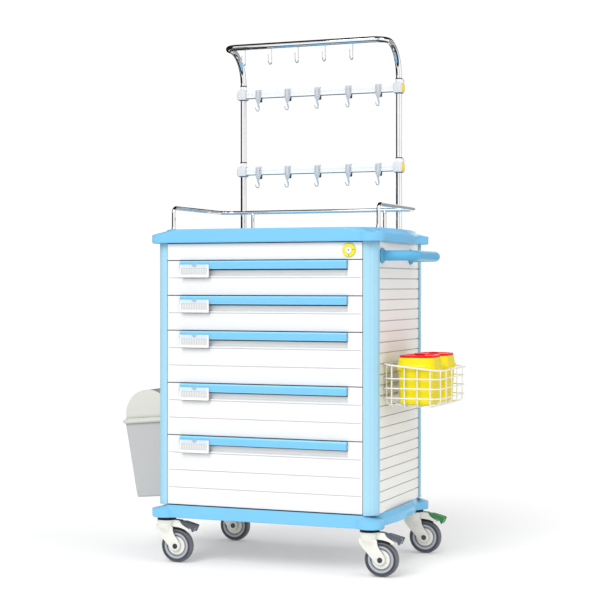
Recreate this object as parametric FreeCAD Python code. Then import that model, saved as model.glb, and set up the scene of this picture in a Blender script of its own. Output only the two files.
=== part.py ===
import FreeCAD, Part
import math
import os

# Crash cart: a five-drawer ward trolley with a push handle, a worktop guard rail, a drip frame
# with two hook rails, a wire side basket holding two sharps bins, and a swing-lid waste bin.
# Cart frame used while modelling, in millimetres: X = 0 on the drawers' centreline,
# Y = 0 on the drawer faces with +Y towards the back, Z = 0 on the floor.

V = FreeCAD.Vector

# Carcass
SLAT = 52.0
FRONT_HALF = 308.5
DEPTH = 474.0
POST_INNER = 309.5
POST_OUTER = 346.6
POST_SIDE = 44.0
POST_ROUND = 34.0
PANEL_X = 341.6
PANEL_THICK = 4.0
BACK_Y = 466.0
BASE_BOTTOM = 136.0
BASE_SHOULDER = 160.0
BASE_TOP = 174.0
BASE_FRONT_Y = -3.0
DECK_BOTTOM = 956.0
DECK_SHOULDER = 981.0
DECK_TOP = 997.0
DECK_FRONT_Y = -14.0
DECK_FLOOR = 980.0
LOBE_X = 325.0
LOBE_Y = 22.0
LOBE_R = 41.0
LOBE_FILLET = 24.0
SIDE_BOW_R = 829.0
SIDE_BOW_X = 363.0
TOP_INSET = 7.0
GROOVE_PITCH = 30.7
GROOVE_TOP = 880.3
GROOVE_COUNT = 23
GROOVE_WIDE = 3.0
GROOVE_DEEP = 1.2

# Drawers, counted from the top, heights in slats
DRAWER_SLATS = (2, 2, 3, 3, 4)
DRAWER_TOP = 904.0
FRONT_GAP = 1.2
FRONT_THICK = 18.0
GRIP_HALF = 264.0
GRIP_TALL = 26.0
GRIP_OUT = 10.0
GRIP_THICK = 3.0
FINGER_TALL = 46.0
FINGER_DEEP = 9.0
LABEL_LEFT = -261.0
LABEL_WIDE = 94.0
LABEL_TALL = 39.0
LABEL_DROP = 12.0
LABEL_THICK = 3.0
TRAY_HALF = 290.0
TRAY_BACK = 430.0
TRAY_WALL = 3.0
TRAY_LIFT = 9.0
TRAY_TOP_GAP = 20.0
FLANGE_HALF = 308.0
FLANGE_LIFT = 34.0
FLANGE_THICK = 4.0
RUNNER_IN = 299.0
RUNNER_THICK = 10.0
RUNNER_PLAY = 0.05

# Lock
LOCK_X = 268.6
LOCK_Z = 931.0
LOCK_RING_R = 19.5
LOCK_KNOB_R = 10.0

# Push handle
HANDLE_Z = 916.0
HANDLE_R = 15.0
HANDLE_REACH = 432.0
HANDLE_FRONT = 75.0
HANDLE_BACK = 348.0
HANDLE_BEND = 48.0
HANDLE_FLANGE_R = 22.5

# Guard rail round the worktop
GUARD_R = 6.0
GUARD_Z = 1066.0
GUARD_X = 329.0
GUARD_FRONT = 84.0
GUARD_REAR = 452.0
GUARD_POST_X = 225.0

# Drip frame
POLE_R = 9.5
POLE_X = 266.0
POLE_Y = 470.0
POLE_BEND_Z = 1482.0
POLE_BEND = 100.0
TOP_BAR_Y = 320.0
TOP_BAR_BEND = 42.0
TOP_BAR_Z = POLE_BEND_Z + POLE_BEND
TOP_HOOK_X = (-194.0, -104.0, -14.0, 76.0, 166.0)
TOP_HOOK_R = 1.6
TOP_HOOK_LOW = 1520.0
TOP_HOOK_OPEN = 27.0

# Hook rails on the drip frame
RAIL_TALL = 25.0
RAIL_TOPS = {"upper": 1461.0, "lower": 1212.5}
RAIL_FRONT = 458.0
RAIL_BACK = 466.0
CLAMP_HALF = 14.5
CLAMP_TALL = 33.0
CLAMP_FRONT = 452.0
CLAMP_BACK = 484.0
COLLAR_R = 13.0
COLLAR_TALL = 16.0
CAP_R = 9.5
CAP_OUT = 4.0
POLE_FIT = 0.06
HOOK_X = (-208.0, -106.0, -3.0, 102.0, 202.0)
HOOK_WIDE = 19.0
HOOK_FIT = 0.08

# Castors: the swivel axis is at the corner, the wheel trails to +X
CASTOR_X = 322.6
CASTOR_Y = 24.3
TRAIL = 36.4
WHEEL_R = 50.0
WHEEL_WIDE = 25.0
HUB_R = 38.5
AXLE_R = 4.0
AXLE_FIT = 0.05
RING_R = 28.5
RING_LOW = 127.0
FORK_R = 29.0
FORK_LOW = 108.0
LEG_IN = 14.0
LEG_OUT = 18.5
PEDAL_X = 34.0
PEDAL_Z = 119.5

# Wire basket on the right side
BASKET_LEFT = 344.0
BASKET_RIGHT = 517.0
BASKET_FRONT = 66.0
BASKET_BACK = 357.0
BASKET_RIM_IN = 603.0
BASKET_RIM_OUT = 586.0
BASKET_LOW = 479.0
BASKET_WIRE_R = 2.0
BASKET_RIM_R = 2.5
BASKET_LOOP_Z = (562.0, 534.0, 506.0)
BASKET_CORNER = 26.0

# Sharps bins
SHARPS_X = 436.0
SHARPS_Y = (141.0, 281.0)
SHARPS_HALF_X = 58.0
SHARPS_HALF_Y = 66.0
SHARPS_LOW = 487.1
SHARPS_COLLAR = 592.0
SHARPS_TOP = 622.0
SHARPS_LID_TOP = 629.0

# Waste bin, leaning out from the left side
BIN_TILT = 4.8
BIN_X = -417.8
BIN_Y = 233.0
BIN_Z = 176.0
BIN_HIGH = 240.0
BIN_BOTTOM_HALF = (65.0, 103.0)
BIN_TOP_HALF = (85.0, 112.0)
BIN_RIM_HALF = (93.0, 120.0)
BIN_RIM_LOW = 230.0
BIN_RIM_WIDEST = 239.0
BIN_WALL = 2.5
LID_TOP_Z = 246.0
DOME_HALF = 77.0
DOME_STRAIGHT = 9.0
DOME_END_OUT = 106.0
DOME_END_IN = 103.0
FLAP_R = 75.5
FLAP_PIVOT_X = 1.0
FLAP_PIVOT_Z = 310.0
FLAP_PIN_R = 3.0

# Shift from the cart frame to the origin: the middle of the whole cart's footprint
BIN_EDGE = BIN_RIM_HALF[0] * math.cos(math.radians(BIN_TILT))
BIN_REACH = BIN_X - BIN_EDGE - BIN_RIM_WIDEST * math.sin(math.radians(BIN_TILT))
RIGHT_REACH = BASKET_RIGHT + BASKET_RIM_R
SHIFT_X = -(BIN_REACH + RIGHT_REACH) / 2.0
SHIFT_Y = -DEPTH / 2.0


def box(x0, x1, y0, y1, z0, z1):
    return Part.makeBox(x1 - x0, y1 - y0, z1 - z0, V(x0, y0, z0))


def cyl(r, h, base, axis):
    return Part.makeCylinder(r, h, base, axis)


def fuse(shapes):
    joined = shapes[0].multiFuse(shapes[1:])
    return joined.removeSplitter()


def together(shapes):
    return Part.makeCompound(shapes)


def prism_xz(points, y0, y1):
    corners = [V(x, y0, z) for x, z in points]
    face = Part.Face(Part.makePolygon(corners + corners[:1]))
    return face.extrude(V(0, y1 - y0, 0))


def prism_yz(points, x0, x1):
    corners = [V(x0, y, z) for y, z in points]
    face = Part.Face(Part.makePolygon(corners + corners[:1]))
    return face.extrude(V(x1 - x0, 0, 0))


def arc(a, b, c):
    return Part.Arc(a, b, c).toShape()


def line(a, b):
    return Part.LineSegment(a, b).toShape()


def rounded_path(points, radii):
    """A wire through points, each inner corner rounded to its radius."""
    edges = []
    start = points[0]
    for i in range(1, len(points) - 1):
        corner = points[i]
        into = (corner - points[i - 1]).normalize()
        out = (points[i + 1] - corner).normalize()
        turn = math.acos(max(-1.0, min(1.0, into.dot(out))))
        cut = radii[i - 1] * math.tan(turn / 2.0)
        a = corner - into * cut
        b = corner + out * cut
        middle = (out - into).normalize()
        centre = corner + middle * (radii[i - 1] / math.cos(turn / 2.0))
        edges.append(line(start, a))
        edges.append(arc(a, centre - middle * radii[i - 1], b))
        start = b
    edges.append(line(start, points[-1]))
    return Part.Wire(edges)


def pipe(path, r):
    first = path.OrderedEdges[0]
    start = first.valueAt(first.FirstParameter)
    heading = first.tangentAt(first.FirstParameter)
    ring = Part.Wire(Part.Circle(start, heading, r).toShape())
    return path.makePipeShell([ring], True, False)


def ring_path(corners, r):
    """A closed rounded loop through four corners, starting mid-way along one side."""
    middle = (corners[0] + corners[3]) * 0.5
    return rounded_path([middle] + list(corners) + [middle], [r] * 4)


def rounded_rect(cx, cy, hx, hy, r, z):
    k = r * (1.0 - math.sqrt(0.5))
    x0 = cx - hx
    x1 = cx + hx
    y0 = cy - hy
    y1 = cy + hy
    edges = [line(V(x0 + r, y0, z), V(x1 - r, y0, z))]
    edges.append(arc(V(x1 - r, y0, z), V(x1 - k, y0 + k, z), V(x1, y0 + r, z)))
    edges.append(line(V(x1, y0 + r, z), V(x1, y1 - r, z)))
    edges.append(arc(V(x1, y1 - r, z), V(x1 - k, y1 - k, z), V(x1 - r, y1, z)))
    edges.append(line(V(x1 - r, y1, z), V(x0 + r, y1, z)))
    edges.append(arc(V(x0 + r, y1, z), V(x0 + k, y1 - k, z), V(x0, y1 - r, z)))
    edges.append(line(V(x0, y1 - r, z), V(x0, y0 + r, z)))
    edges.append(arc(V(x0, y0 + r, z), V(x0 + k, y0 + k, z), V(x0 + r, y0, z)))
    return Part.Wire(edges)


def slab(wire, height):
    return Part.Face(wire).extrude(V(0, 0, height))


def loft(wires):
    return Part.makeLoft(wires, True, True)


def mirror_x(shape):
    return shape.mirror(V(0, 0, 0), V(1, 0, 0))


def mirror_y(shape):
    return shape.mirror(V(0, DEPTH / 2.0, 0), V(0, 1, 0))


def meeting(ax, ay, ra, bx, by, rb):
    """Where a circle round A meets one round B, on the left of the way from A to B."""
    gap = math.hypot(bx - ax, by - ay)
    along = (ra * ra - rb * rb + gap * gap) / (2.0 * gap)
    off = math.sqrt(ra * ra - along * along)
    ux = (bx - ax) / gap
    uy = (by - ay) / gap
    return ax + ux * along - uy * off, ay + uy * along + ux * off


def on_circle(cx, cy, r, tx, ty):
    gap = math.hypot(tx - cx, ty - cy)
    return cx + (tx - cx) * r / gap, cy + (ty - cy) * r / gap


def lobed_quarter(front_y):
    """Joints of the lobed outline from mid front to mid right side, arcs with a middle point."""
    rise = LOBE_Y - front_y + LOBE_FILLET
    fx = LOBE_X - math.sqrt((LOBE_R + LOBE_FILLET) ** 2 - rise ** 2)
    fy = front_y - LOBE_FILLET
    t1 = on_circle(LOBE_X, LOBE_Y, LOBE_R, fx, fy)
    m1 = on_circle(fx, fy, LOBE_FILLET, (fx + t1[0]) / 2.0, (front_y + t1[1]) / 2.0)
    bx = SIDE_BOW_X - SIDE_BOW_R
    by = DEPTH / 2.0
    gx, gy = meeting(bx, by, SIDE_BOW_R + LOBE_FILLET, LOBE_X, LOBE_Y, LOBE_R + LOBE_FILLET)
    t2 = on_circle(LOBE_X, LOBE_Y, LOBE_R, gx, gy)
    t3 = on_circle(bx, by, SIDE_BOW_R, gx, gy)
    m2 = on_circle(gx, gy, LOBE_FILLET, (t2[0] + t3[0]) / 2.0, (t2[1] + t3[1]) / 2.0)
    nose = on_circle(LOBE_X, LOBE_Y, LOBE_R, LOBE_X + 1.0, LOBE_Y - 1.0)
    bow = on_circle(bx, by, SIDE_BOW_R, (t3[0] + SIDE_BOW_X) / 2.0, (t3[1] + by) / 2.0)
    return [(fx, front_y), m1, t1, nose, t2, m2, t3, bow, (SIDE_BOW_X, by)]


def plain_quarter(front_y, corner, inset):
    """The same nine joints with a plain round corner in place of the lobe."""
    x = SIDE_BOW_X - inset
    by = DEPTH / 2.0
    bx = x - SIDE_BOW_R
    cy = front_y + corner
    reach = SIDE_BOW_R - corner
    cx = bx + math.sqrt(reach ** 2 - (by - cy) ** 2)
    end = math.atan2(cy - by, cx - bx)
    joints = [(cx, front_y)]
    for i in range(1, 7):
        turn = -math.pi / 2.0 + (end + math.pi / 2.0) * i / 6.0
        joints.append((cx + corner * math.cos(turn), cy + corner * math.sin(turn)))
    joints.append((bx + SIDE_BOW_R * math.cos(end / 2.0), by + SIDE_BOW_R * math.sin(end / 2.0)))
    joints.append((x, by))
    return joints


def outline(quarter, z):
    """The full outline at height z, mirrored left-right and front-back from one quarter."""
    full = []
    for sx, sy in ((1, 1), (1, -1), (-1, -1), (-1, 1)):
        joints = []
        for x, y in quarter:
            joints.append(V(sx * x, y if sy > 0 else DEPTH - y, z))
        if sx * sy < 0:
            joints.reverse()
        full.append(joints)
    edges = []
    for n, joints in enumerate(full):
        for i in range(0, 8, 2):
            edges.append(arc(joints[i], joints[i + 1], joints[i + 2]))
        nxt = full[(n + 1) % 4][0]
        if (nxt - joints[-1]).Length > 0.01:
            edges.append(line(joints[-1], nxt))
    return Part.Wire(Part.__sortEdges__(edges))


def base_tray():
    low = lobed_quarter(BASE_FRONT_Y)
    top = plain_quarter(BASE_FRONT_Y, POST_ROUND + 3.0, TOP_INSET)
    body = slab(outline(low, BASE_BOTTOM), BASE_SHOULDER - BASE_BOTTOM)
    shoulder = loft([outline(low, BASE_SHOULDER), outline(top, BASE_TOP)])
    hollow = slab(rounded_rect(0, DEPTH / 2.0, 270, 190, 30, BASE_BOTTOM), 18)
    return fuse([body, shoulder]).cut(hollow)


def worktop():
    low = lobed_quarter(DECK_FRONT_Y)
    top = plain_quarter(DECK_FRONT_Y, 95.0, TOP_INSET)
    body = slab(outline(low, DECK_BOTTOM), DECK_SHOULDER - DECK_BOTTOM)
    shoulder = loft([outline(low, DECK_SHOULDER), outline(top, DECK_TOP)])
    deck = fuse([body, shoulder])
    recess = slab(rounded_rect(0, 229.0, 314.0, 212.0, 60, DECK_FLOOR), DECK_TOP - DECK_FLOOR + 1)
    return deck.cut(recess)


def post():
    """The front right corner post: a rounded outer corner and two shallow flutes."""
    k = POST_ROUND * (1.0 - math.sqrt(0.5))
    z = BASE_TOP
    a = V(POST_INNER, 0, z)
    b = V(POST_OUTER - POST_ROUND, 0, z)
    c = V(POST_OUTER - k, k, z)
    d = V(POST_OUTER, POST_ROUND, z)
    e = V(POST_OUTER, POST_SIDE, z)
    f = V(POST_INNER, POST_SIDE, z)
    edges = [line(a, b), arc(b, c, d), line(d, e), line(e, f), line(f, a)]
    body = slab(Part.Wire(edges), DECK_BOTTOM - BASE_TOP)
    flute = cyl(2.0, DECK_BOTTOM - BASE_TOP, V(POST_OUTER + 1.2, POST_ROUND + 3.0, z), V(0, 0, 1))
    return body.cut(flute)


def corner_posts():
    one = post()
    left = mirror_x(one)
    return together([one, left, mirror_y(one), mirror_y(left)])


def grooved_sheet(thick, z0, z1):
    """Profile of a sheet standing on z0, its outer face at 0, with a V groove at each slat line."""
    profile = [(-thick, z0), (0.0, z0)]
    for k in range(GROOVE_COUNT - 1, -1, -1):
        z = GROOVE_TOP - k * GROOVE_PITCH
        profile.append((0.0, z - GROOVE_WIDE / 2.0))
        profile.append((-GROOVE_DEEP, z))
        profile.append((0.0, z + GROOVE_WIDE / 2.0))
    profile.append((0.0, z1))
    profile.append((-thick, z1))
    return profile


def wall_panels():
    profile = grooved_sheet(PANEL_THICK, BASE_TOP, DECK_BOTTOM)
    side = [(PANEL_X + x, z) for x, z in profile]
    right = prism_xz(side, POST_SIDE, DEPTH - POST_SIDE)
    back_profile = [(BACK_Y + PANEL_THICK + y, z) for y, z in profile]
    back = prism_yz(back_profile, -POST_INNER, POST_INNER)
    return together([right, mirror_x(right), back])


def header_panel():
    return box(-FRONT_HALF, FRONT_HALF, 0, FRONT_THICK, DRAWER_TOP + FRONT_GAP, DECK_BOTTOM)


def lock_ring():
    at = V(LOCK_X, 0, LOCK_Z)
    ring = cyl(LOCK_RING_R, 5.0, at, V(0, -1, 0))
    front_edges = [e for e in ring.Edges if len(e.Vertexes) == 1 and e.CenterOfMass.y < -4.9]
    ring = ring.makeChamfer(1.2, front_edges)
    return ring.cut(cyl(LOCK_KNOB_R + AXLE_FIT, 6.0, at, V(0, -1, 0)))


def lock_knob():
    at = V(LOCK_X, -0.05, LOCK_Z)
    knob = cyl(LOCK_KNOB_R, 6.5, at, V(0, -1, 0))
    slot = box(LOCK_X - 0.9, LOCK_X + 0.9, -7, -3.5, LOCK_Z - 3.2, LOCK_Z + 3.2)
    return knob.cut(slot)


def drawer_levels():
    """Bottom and top of each drawer, from the top one down."""
    levels = []
    top = DRAWER_TOP
    for slats in DRAWER_SLATS:
        levels.append((top - slats * SLAT, top))
        top = top - slats * SLAT
    return levels


def label_holder(top):
    z1 = top - LABEL_DROP
    z0 = z1 - LABEL_TALL
    x0 = LABEL_LEFT
    x1 = LABEL_LEFT + LABEL_WIDE
    back = -GRIP_OUT - 0.02
    plate = box(x0, x1, back - LABEL_THICK, back, z0, z1)
    window = box(x0 + 5, x1 - 7, back - LABEL_THICK, back - 1.6, z0 + 5, z1 - 11)
    notch = cyl(8.5, LABEL_THICK + 1, V((x0 + x1) / 2.0, back - LABEL_THICK - 0.5, z1), V(0, 1, 0))
    return plate.cut(window).cut(notch)


def drawer_front(z0, z1):
    low = z0 + FRONT_GAP
    high = z1 - FRONT_GAP
    profile = [(FRONT_THICK, low), (0.0, low)]
    slats = int(round((z1 - z0) / SLAT))
    for k in range(1, slats):
        z = z0 + k * SLAT
        if z1 - z > FINGER_TALL + 2:
            profile += [(0.0, z - 1.0), (0.7, z), (0.0, z + 1.0)]
    profile += [(0.0, high), (FRONT_THICK, high)]
    panel = prism_yz(profile, -FRONT_HALF, FRONT_HALF)
    top_in = high - GRIP_THICK
    recess = [(-1, z1 - FINGER_TALL), (FINGER_DEEP - 3, z1 - FINGER_TALL + 1),
              (FINGER_DEEP, z1 - FINGER_TALL + 6), (FINGER_DEEP, top_in), (-1, top_in)]
    panel = panel.cut(prism_yz(recess, -GRIP_HALF, GRIP_HALF))
    return together([panel, label_holder(z1)])


def drawer_grip(z1):
    """A lip along the drawer's top edge: a roof and a front plate that curls in at the bottom."""
    high = z1 - FRONT_GAP
    low = z1 - GRIP_TALL
    out = -GRIP_OUT
    profile = [(-0.02, high), (out + 4, high), (out, high - 4), (out, low + 2), (out + 2, low)]
    profile += [(out + 5, low), (out + 5, low + 2), (out + GRIP_THICK, low + 3)]
    profile += [(out + GRIP_THICK, high - 6), (out + 5, high - GRIP_THICK), (-0.02, high - GRIP_THICK)]
    return prism_yz(profile, -GRIP_HALF, GRIP_HALF)


def drawer_tray(z0, z1):
    low = z0 + TRAY_LIFT
    high = z1 - TRAY_TOP_GAP
    y0 = FRONT_THICK
    outer = box(-TRAY_HALF, TRAY_HALF, y0, TRAY_BACK, low, high)
    inner = box(-TRAY_HALF + TRAY_WALL, TRAY_HALF - TRAY_WALL, y0 + TRAY_WALL,
                TRAY_BACK - TRAY_WALL, low + TRAY_WALL, high + 1)
    pieces = [outer.cut(inner)]
    flange_low = z0 + FLANGE_LIFT
    for x0, x1 in ((-FLANGE_HALF, -TRAY_HALF), (TRAY_HALF, FLANGE_HALF)):
        pieces.append(box(x0, x1, y0, TRAY_BACK, flange_low, flange_low + FLANGE_THICK))
    return fuse(pieces)


def drawer_runners():
    """A pair of ledges under each drawer's side flanges, fixed to the side panels."""
    inner = PANEL_X - PANEL_THICK
    rails = []
    for z0, z1 in drawer_levels():
        top = z0 + FLANGE_LIFT - RUNNER_PLAY
        rail = box(RUNNER_IN, inner, POST_SIDE, DEPTH - POST_SIDE, top - RUNNER_THICK, top)
        rails += [rail, mirror_x(rail)]
    return together(rails)


def push_handle():
    z = HANDLE_Z
    points = [V(PANEL_X, HANDLE_FRONT, z), V(HANDLE_REACH, HANDLE_FRONT, z)]
    points += [V(HANDLE_REACH, HANDLE_BACK, z), V(PANEL_X, HANDLE_BACK, z)]
    bar = pipe(rounded_path(points, [HANDLE_BEND, HANDLE_BEND]), HANDLE_R)
    flanges = []
    for y in (HANDLE_FRONT, HANDLE_BACK):
        flanges.append(Part.makeCone(HANDLE_FLANGE_R, HANDLE_FLANGE_R - 3, 7, V(PANEL_X, y, z), V(1, 0, 0)))
    return fuse([bar] + flanges)


def guard_rail():
    foot = DECK_TOP
    z = GUARD_Z
    points = [V(GUARD_X, GUARD_FRONT, foot), V(GUARD_X, GUARD_FRONT, z), V(GUARD_X, GUARD_REAR, z)]
    points += [V(-p.x, p.y, p.z) for p in reversed(points)]
    bar = pipe(rounded_path(points, [16.0, 36.0, 36.0, 16.0]), GUARD_R)
    pieces = [bar]
    for x in (-GUARD_POST_X, GUARD_POST_X):
        pieces.append(cyl(GUARD_R - 0.5, z - foot, V(x, GUARD_REAR, foot), V(0, 0, 1)))
        pieces.append(cyl(9.0, 6.0, V(x, GUARD_REAR, foot), V(0, 0, 1)))
    for x in (-GUARD_X, GUARD_X):
        pieces.append(cyl(8.5, 8.0, V(x, GUARD_FRONT, foot), V(0, 0, 1)))
    return fuse(pieces)


def top_hook(x):
    """A thin wire hook hanging from the top bar, open towards the front."""
    bend = TOP_HOOK_OPEN / 2.0
    y = TOP_BAR_Y
    top = TOP_BAR_Z - POLE_R + 1.0
    points = [V(x, y, top), V(x, y, TOP_HOOK_LOW), V(x, y - TOP_HOOK_OPEN, TOP_HOOK_LOW)]
    points.append(V(x, y - TOP_HOOK_OPEN, TOP_HOOK_LOW + 29.0))
    points[1].z += TOP_HOOK_R
    points[2].z += TOP_HOOK_R
    return pipe(rounded_path(points, [bend - 0.1, bend - 0.1]), TOP_HOOK_R)


def iv_frame():
    z = TOP_BAR_Z
    points = [V(POLE_X, POLE_Y, DECK_TOP), V(POLE_X, POLE_Y, z), V(POLE_X, TOP_BAR_Y, z)]
    points += [V(-p.x, p.y, p.z) for p in reversed(points)]
    bar = pipe(rounded_path(points, [POLE_BEND, TOP_BAR_BEND, TOP_BAR_BEND, POLE_BEND]), POLE_R)
    pieces = [bar]
    for x in (-POLE_X, POLE_X):
        pieces.append(cyl(13.0, 10.0, V(x, POLE_Y, DECK_TOP), V(0, 0, 1)))
    for x in TOP_HOOK_X:
        pieces.append(top_hook(x))
    return fuse(pieces)


def rail_cap(z0, z1):
    """An upright oval end cap on the clamp's outer side."""
    x = POLE_X + CLAMP_HALF
    discs = []
    for z in (z0 + CAP_R + 1, z1 - CAP_R - 1):
        discs.append(cyl(CAP_R, CAP_OUT, V(x, POLE_Y - 4, z), V(1, 0, 0)))
    middle = box(x, x + CAP_OUT, POLE_Y - 4 - CAP_R, POLE_Y - 4 + CAP_R, z0 + CAP_R + 1, z1 - CAP_R - 1)
    return fuse(discs + [middle])


def rail_clamp(top):
    """The right-hand clamp of a hook rail: a block and collar round the pole, and a screw head."""
    z1 = top + 3.0
    z0 = z1 - CLAMP_TALL
    block = box(POLE_X - CLAMP_HALF, POLE_X + CLAMP_HALF, CLAMP_FRONT, CLAMP_BACK, z0, z1)
    block = block.makeFillet(3.0, [e for e in block.Edges if abs(e.tangentAt(0).z) > 0.9])
    collar = cyl(COLLAR_R, COLLAR_TALL, V(POLE_X, POLE_Y, z1), V(0, 0, 1))
    cap = rail_cap(z0, z1)
    screw = cyl(6.0, 8.0, V(POLE_X, CLAMP_BACK, (z0 + z1) / 2.0), V(0, 1, 0))
    solid = fuse([block, collar, cap, screw])
    return solid.cut(cyl(POLE_R + POLE_FIT, 80.0, V(POLE_X, POLE_Y, z0 - 10), V(0, 0, 1)))


def hook_rail(top):
    inner = POLE_X - CLAMP_HALF
    bar = box(-inner, inner, RAIL_FRONT, RAIL_BACK, top - RAIL_TALL, top)
    clamp = rail_clamp(top)
    return fuse([bar, clamp, mirror_x(clamp)])


def sliding_hook(x, top):
    """A saddle over the rail with a tapering tongue and a small hook that curls to the front."""
    front = RAIL_FRONT - HOOK_FIT
    back = RAIL_BACK + HOOK_FIT
    half = HOOK_WIDE / 2.0
    z1 = top + 2.5
    z0 = z1 - 30.5
    saddle = [(front - 5, z0), (front, z0), (front, top + HOOK_FIT), (back, top + HOOK_FIT)]
    saddle += [(back, z0 + 8), (back + 6, z0 + 12), (back + 6, z1), (front - 5, z1)]
    body = prism_yz(saddle, x - half, x + half)
    tongue = prism_xz([(x - half, z0), (x - 2.2, z0 - 21), (x + 2.2, z0 - 21), (x + half, z0)],
                      front - 5, front - 1)
    y = front - 3
    low = z1 - 70.0 + 2.0
    points = [V(x, y, z0 - 19), V(x, y, low), V(x, y - 13, low), V(x, y - 13, low + 16)]
    hook = pipe(rounded_path(points, [6.3, 6.3]), 2.0)
    return fuse([body, tongue, hook])


def swivel_rings():
    rings = []
    for x in (-CASTOR_X, CASTOR_X):
        for y in (CASTOR_Y, DEPTH - CASTOR_Y):
            rings.append(cyl(RING_R, BASE_BOTTOM - RING_LOW, V(x, y, RING_LOW), V(0, 0, 1)))
    return together(rings)


def fork_leg(y0, y1):
    """One side plate of the fork, sweeping from the hood down to the axle boss."""
    hub = 15.5
    points = [(-FORK_R + 1, FORK_LOW + 6), (-FORK_R + 1, 99.0), (-20.0, 88.0), (24.0, 40.5)]
    points += [(TRAIL + 4, 36.0), (51.0, 48.0), (48.0, 60.0), (31.0, 84.0), (26.0, 100.0)]
    points += [(FORK_R - 1, FORK_LOW + 6)]
    plate = prism_xz(points, y0, y1)
    boss = cyl(hub, y1 - y0, V(TRAIL, y0, WHEEL_R), V(0, 1, 0))
    return plate.fuse(boss).removeSplitter()


def castor_fork():
    hood = cyl(FORK_R, RING_LOW - FORK_LOW - 0.1, V(0, 0, FORK_LOW), V(0, 0, 1))
    nose = box(-FORK_R + 1, -FORK_R + 6, -LEG_OUT, LEG_OUT, 92.0, FORK_LOW + 4)
    pieces = [hood, nose, fork_leg(LEG_IN, LEG_OUT), fork_leg(-LEG_OUT, -LEG_IN)]
    arm = [(22.0, 125.0), (40.0, 124.0), (41.0, 113.0), (70.0, 104.5), (74.0, 98.0), (60.0, 101.5)]
    arm += [(38.0, FORK_LOW), (22.0, FORK_LOW)]
    for y0, y1 in ((-14.0, -10.5), (10.5, 14.0)):
        pieces.append(prism_xz(arm, y0, y1))
    pieces.append(cyl(2.0, 28.0, V(PEDAL_X, -14.0, PEDAL_Z), V(0, 1, 0)))
    pieces.append(cyl(AXLE_R, 2 * LEG_OUT, V(TRAIL, -LEG_OUT, WHEEL_R), V(0, 1, 0)))
    for y, way in ((-LEG_OUT, -1), (LEG_OUT, 1)):
        pieces.append(cyl(7.5, 4.0, V(TRAIL, y, WHEEL_R), V(0, way, 0)))
    return fuse(pieces)


def castor_wheel():
    """A ribbed hub with a rounded tyre, both turned about the axle."""
    w = WHEEL_WIDE / 2.0
    at = V(TRAIL, 0, WHEEL_R)
    hub = [(AXLE_R + AXLE_FIT, -13.4), (12.0, -13.4), (14.0, -11.0), (28.0, -9.0), (30.0, -11.5)]
    hub += [(HUB_R, -11.5), (HUB_R, 11.5), (30.0, 11.5), (28.0, 9.0), (14.0, 11.0), (12.0, 13.4)]
    hub += [(AXLE_R + AXLE_FIT, 13.4)]
    tyre = [(HUB_R, -11.5), (44.0, -w), (47.5, -10.6), (49.4, -7.5), (WHEEL_R, -3.0), (WHEEL_R, 3.0)]
    tyre += [(49.4, 7.5), (47.5, 10.6), (44.0, w), (HUB_R, 11.5)]
    solids = []
    for profile in (hub, tyre):
        corners = [V(at.x + r, y, at.z) for r, y in profile]
        face = Part.Face(Part.makePolygon(corners + corners[:1]))
        solids.append(face.revolve(at, V(0, 1, 0), 360))
    return together(solids)


def castor_pedal():
    x = PEDAL_X
    z = PEDAL_Z
    barrel = cyl(4.5, 20.0, V(x, -10.0, z), V(0, 1, 0))
    neck = prism_xz([(x, z + 4.4), (50, z + 4.0), (50, z - 1.5), (x, z - 2)], -10.0, 10.0)
    tread = [(48, z + 4.2), (97, 113.0), (101, 107.0), (94, 94.5), (89.5, 97.0), (91, 105.5), (48, z - 1.2)]
    plate = prism_xz(tread, -14.5, 14.5)
    return fuse([barrel, neck, plate]).cut(cyl(2.0 + AXLE_FIT, 24.0, V(x, -12.0, z), V(0, 1, 0)))


def basket_u_across(y):
    """A wire down the panel side, under the floor and up the outer side, at one depth."""
    x0 = BASKET_LEFT + 2 * BASKET_WIRE_R + 1.0
    x1 = BASKET_RIGHT - 3 * BASKET_WIRE_R - 0.05
    z = BASKET_LOW + 3 * BASKET_WIRE_R + 0.05
    points = [V(x0, y, BASKET_RIM_IN - 3), V(x0, y, z), V(x1, y, z), V(x1, y, BASKET_RIM_OUT - 3)]
    return pipe(rounded_path(points, [14.0, 14.0]), BASKET_WIRE_R)


def basket_u_along(x, rim_z):
    """A wire down the front side, under the floor and up the back side, at one width."""
    y0 = BASKET_FRONT + 3 * BASKET_WIRE_R + 0.05
    y1 = BASKET_BACK - 3 * BASKET_WIRE_R - 0.05
    z = BASKET_LOW + BASKET_WIRE_R
    points = [V(x, y0, rim_z - 3), V(x, y0, z), V(x, y1, z), V(x, y1, rim_z - 3)]
    return pipe(rounded_path(points, [14.0, 14.0]), BASKET_WIRE_R)


def basket_loop(z_in, z_out, r, grow):
    x0 = BASKET_LEFT + r
    x1 = BASKET_RIGHT - r + grow
    y0 = BASKET_FRONT + r - grow
    y1 = BASKET_BACK - r + grow
    corners = [V(x0, y0, z_in), V(x1, y0, z_out), V(x1, y1, z_out), V(x0, y1, z_in)]
    return pipe(ring_path(corners, BASKET_CORNER), r)


def wire_basket():
    """Level loops outside, two sets of U-shaped wires inside, and a thicker sloping rim."""
    across = [BASKET_FRONT + 30 + k * 57.75 for k in range(5)]
    along = [BASKET_LEFT + 28 + k * 38.5 for k in range(4)]
    wires = [basket_u_across(y) for y in across]
    slope = (BASKET_RIM_OUT - BASKET_RIM_IN) / (BASKET_RIGHT - BASKET_LEFT)
    for x in along:
        wires.append(basket_u_along(x, BASKET_RIM_IN + slope * (x - BASKET_LEFT)))
    for z in BASKET_LOOP_Z:
        wires.append(basket_loop(z, z, BASKET_WIRE_R, 0.0))
    wires.append(basket_loop(BASKET_RIM_IN, BASKET_RIM_OUT, BASKET_RIM_R, BASKET_RIM_R))
    return together(wires)


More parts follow.
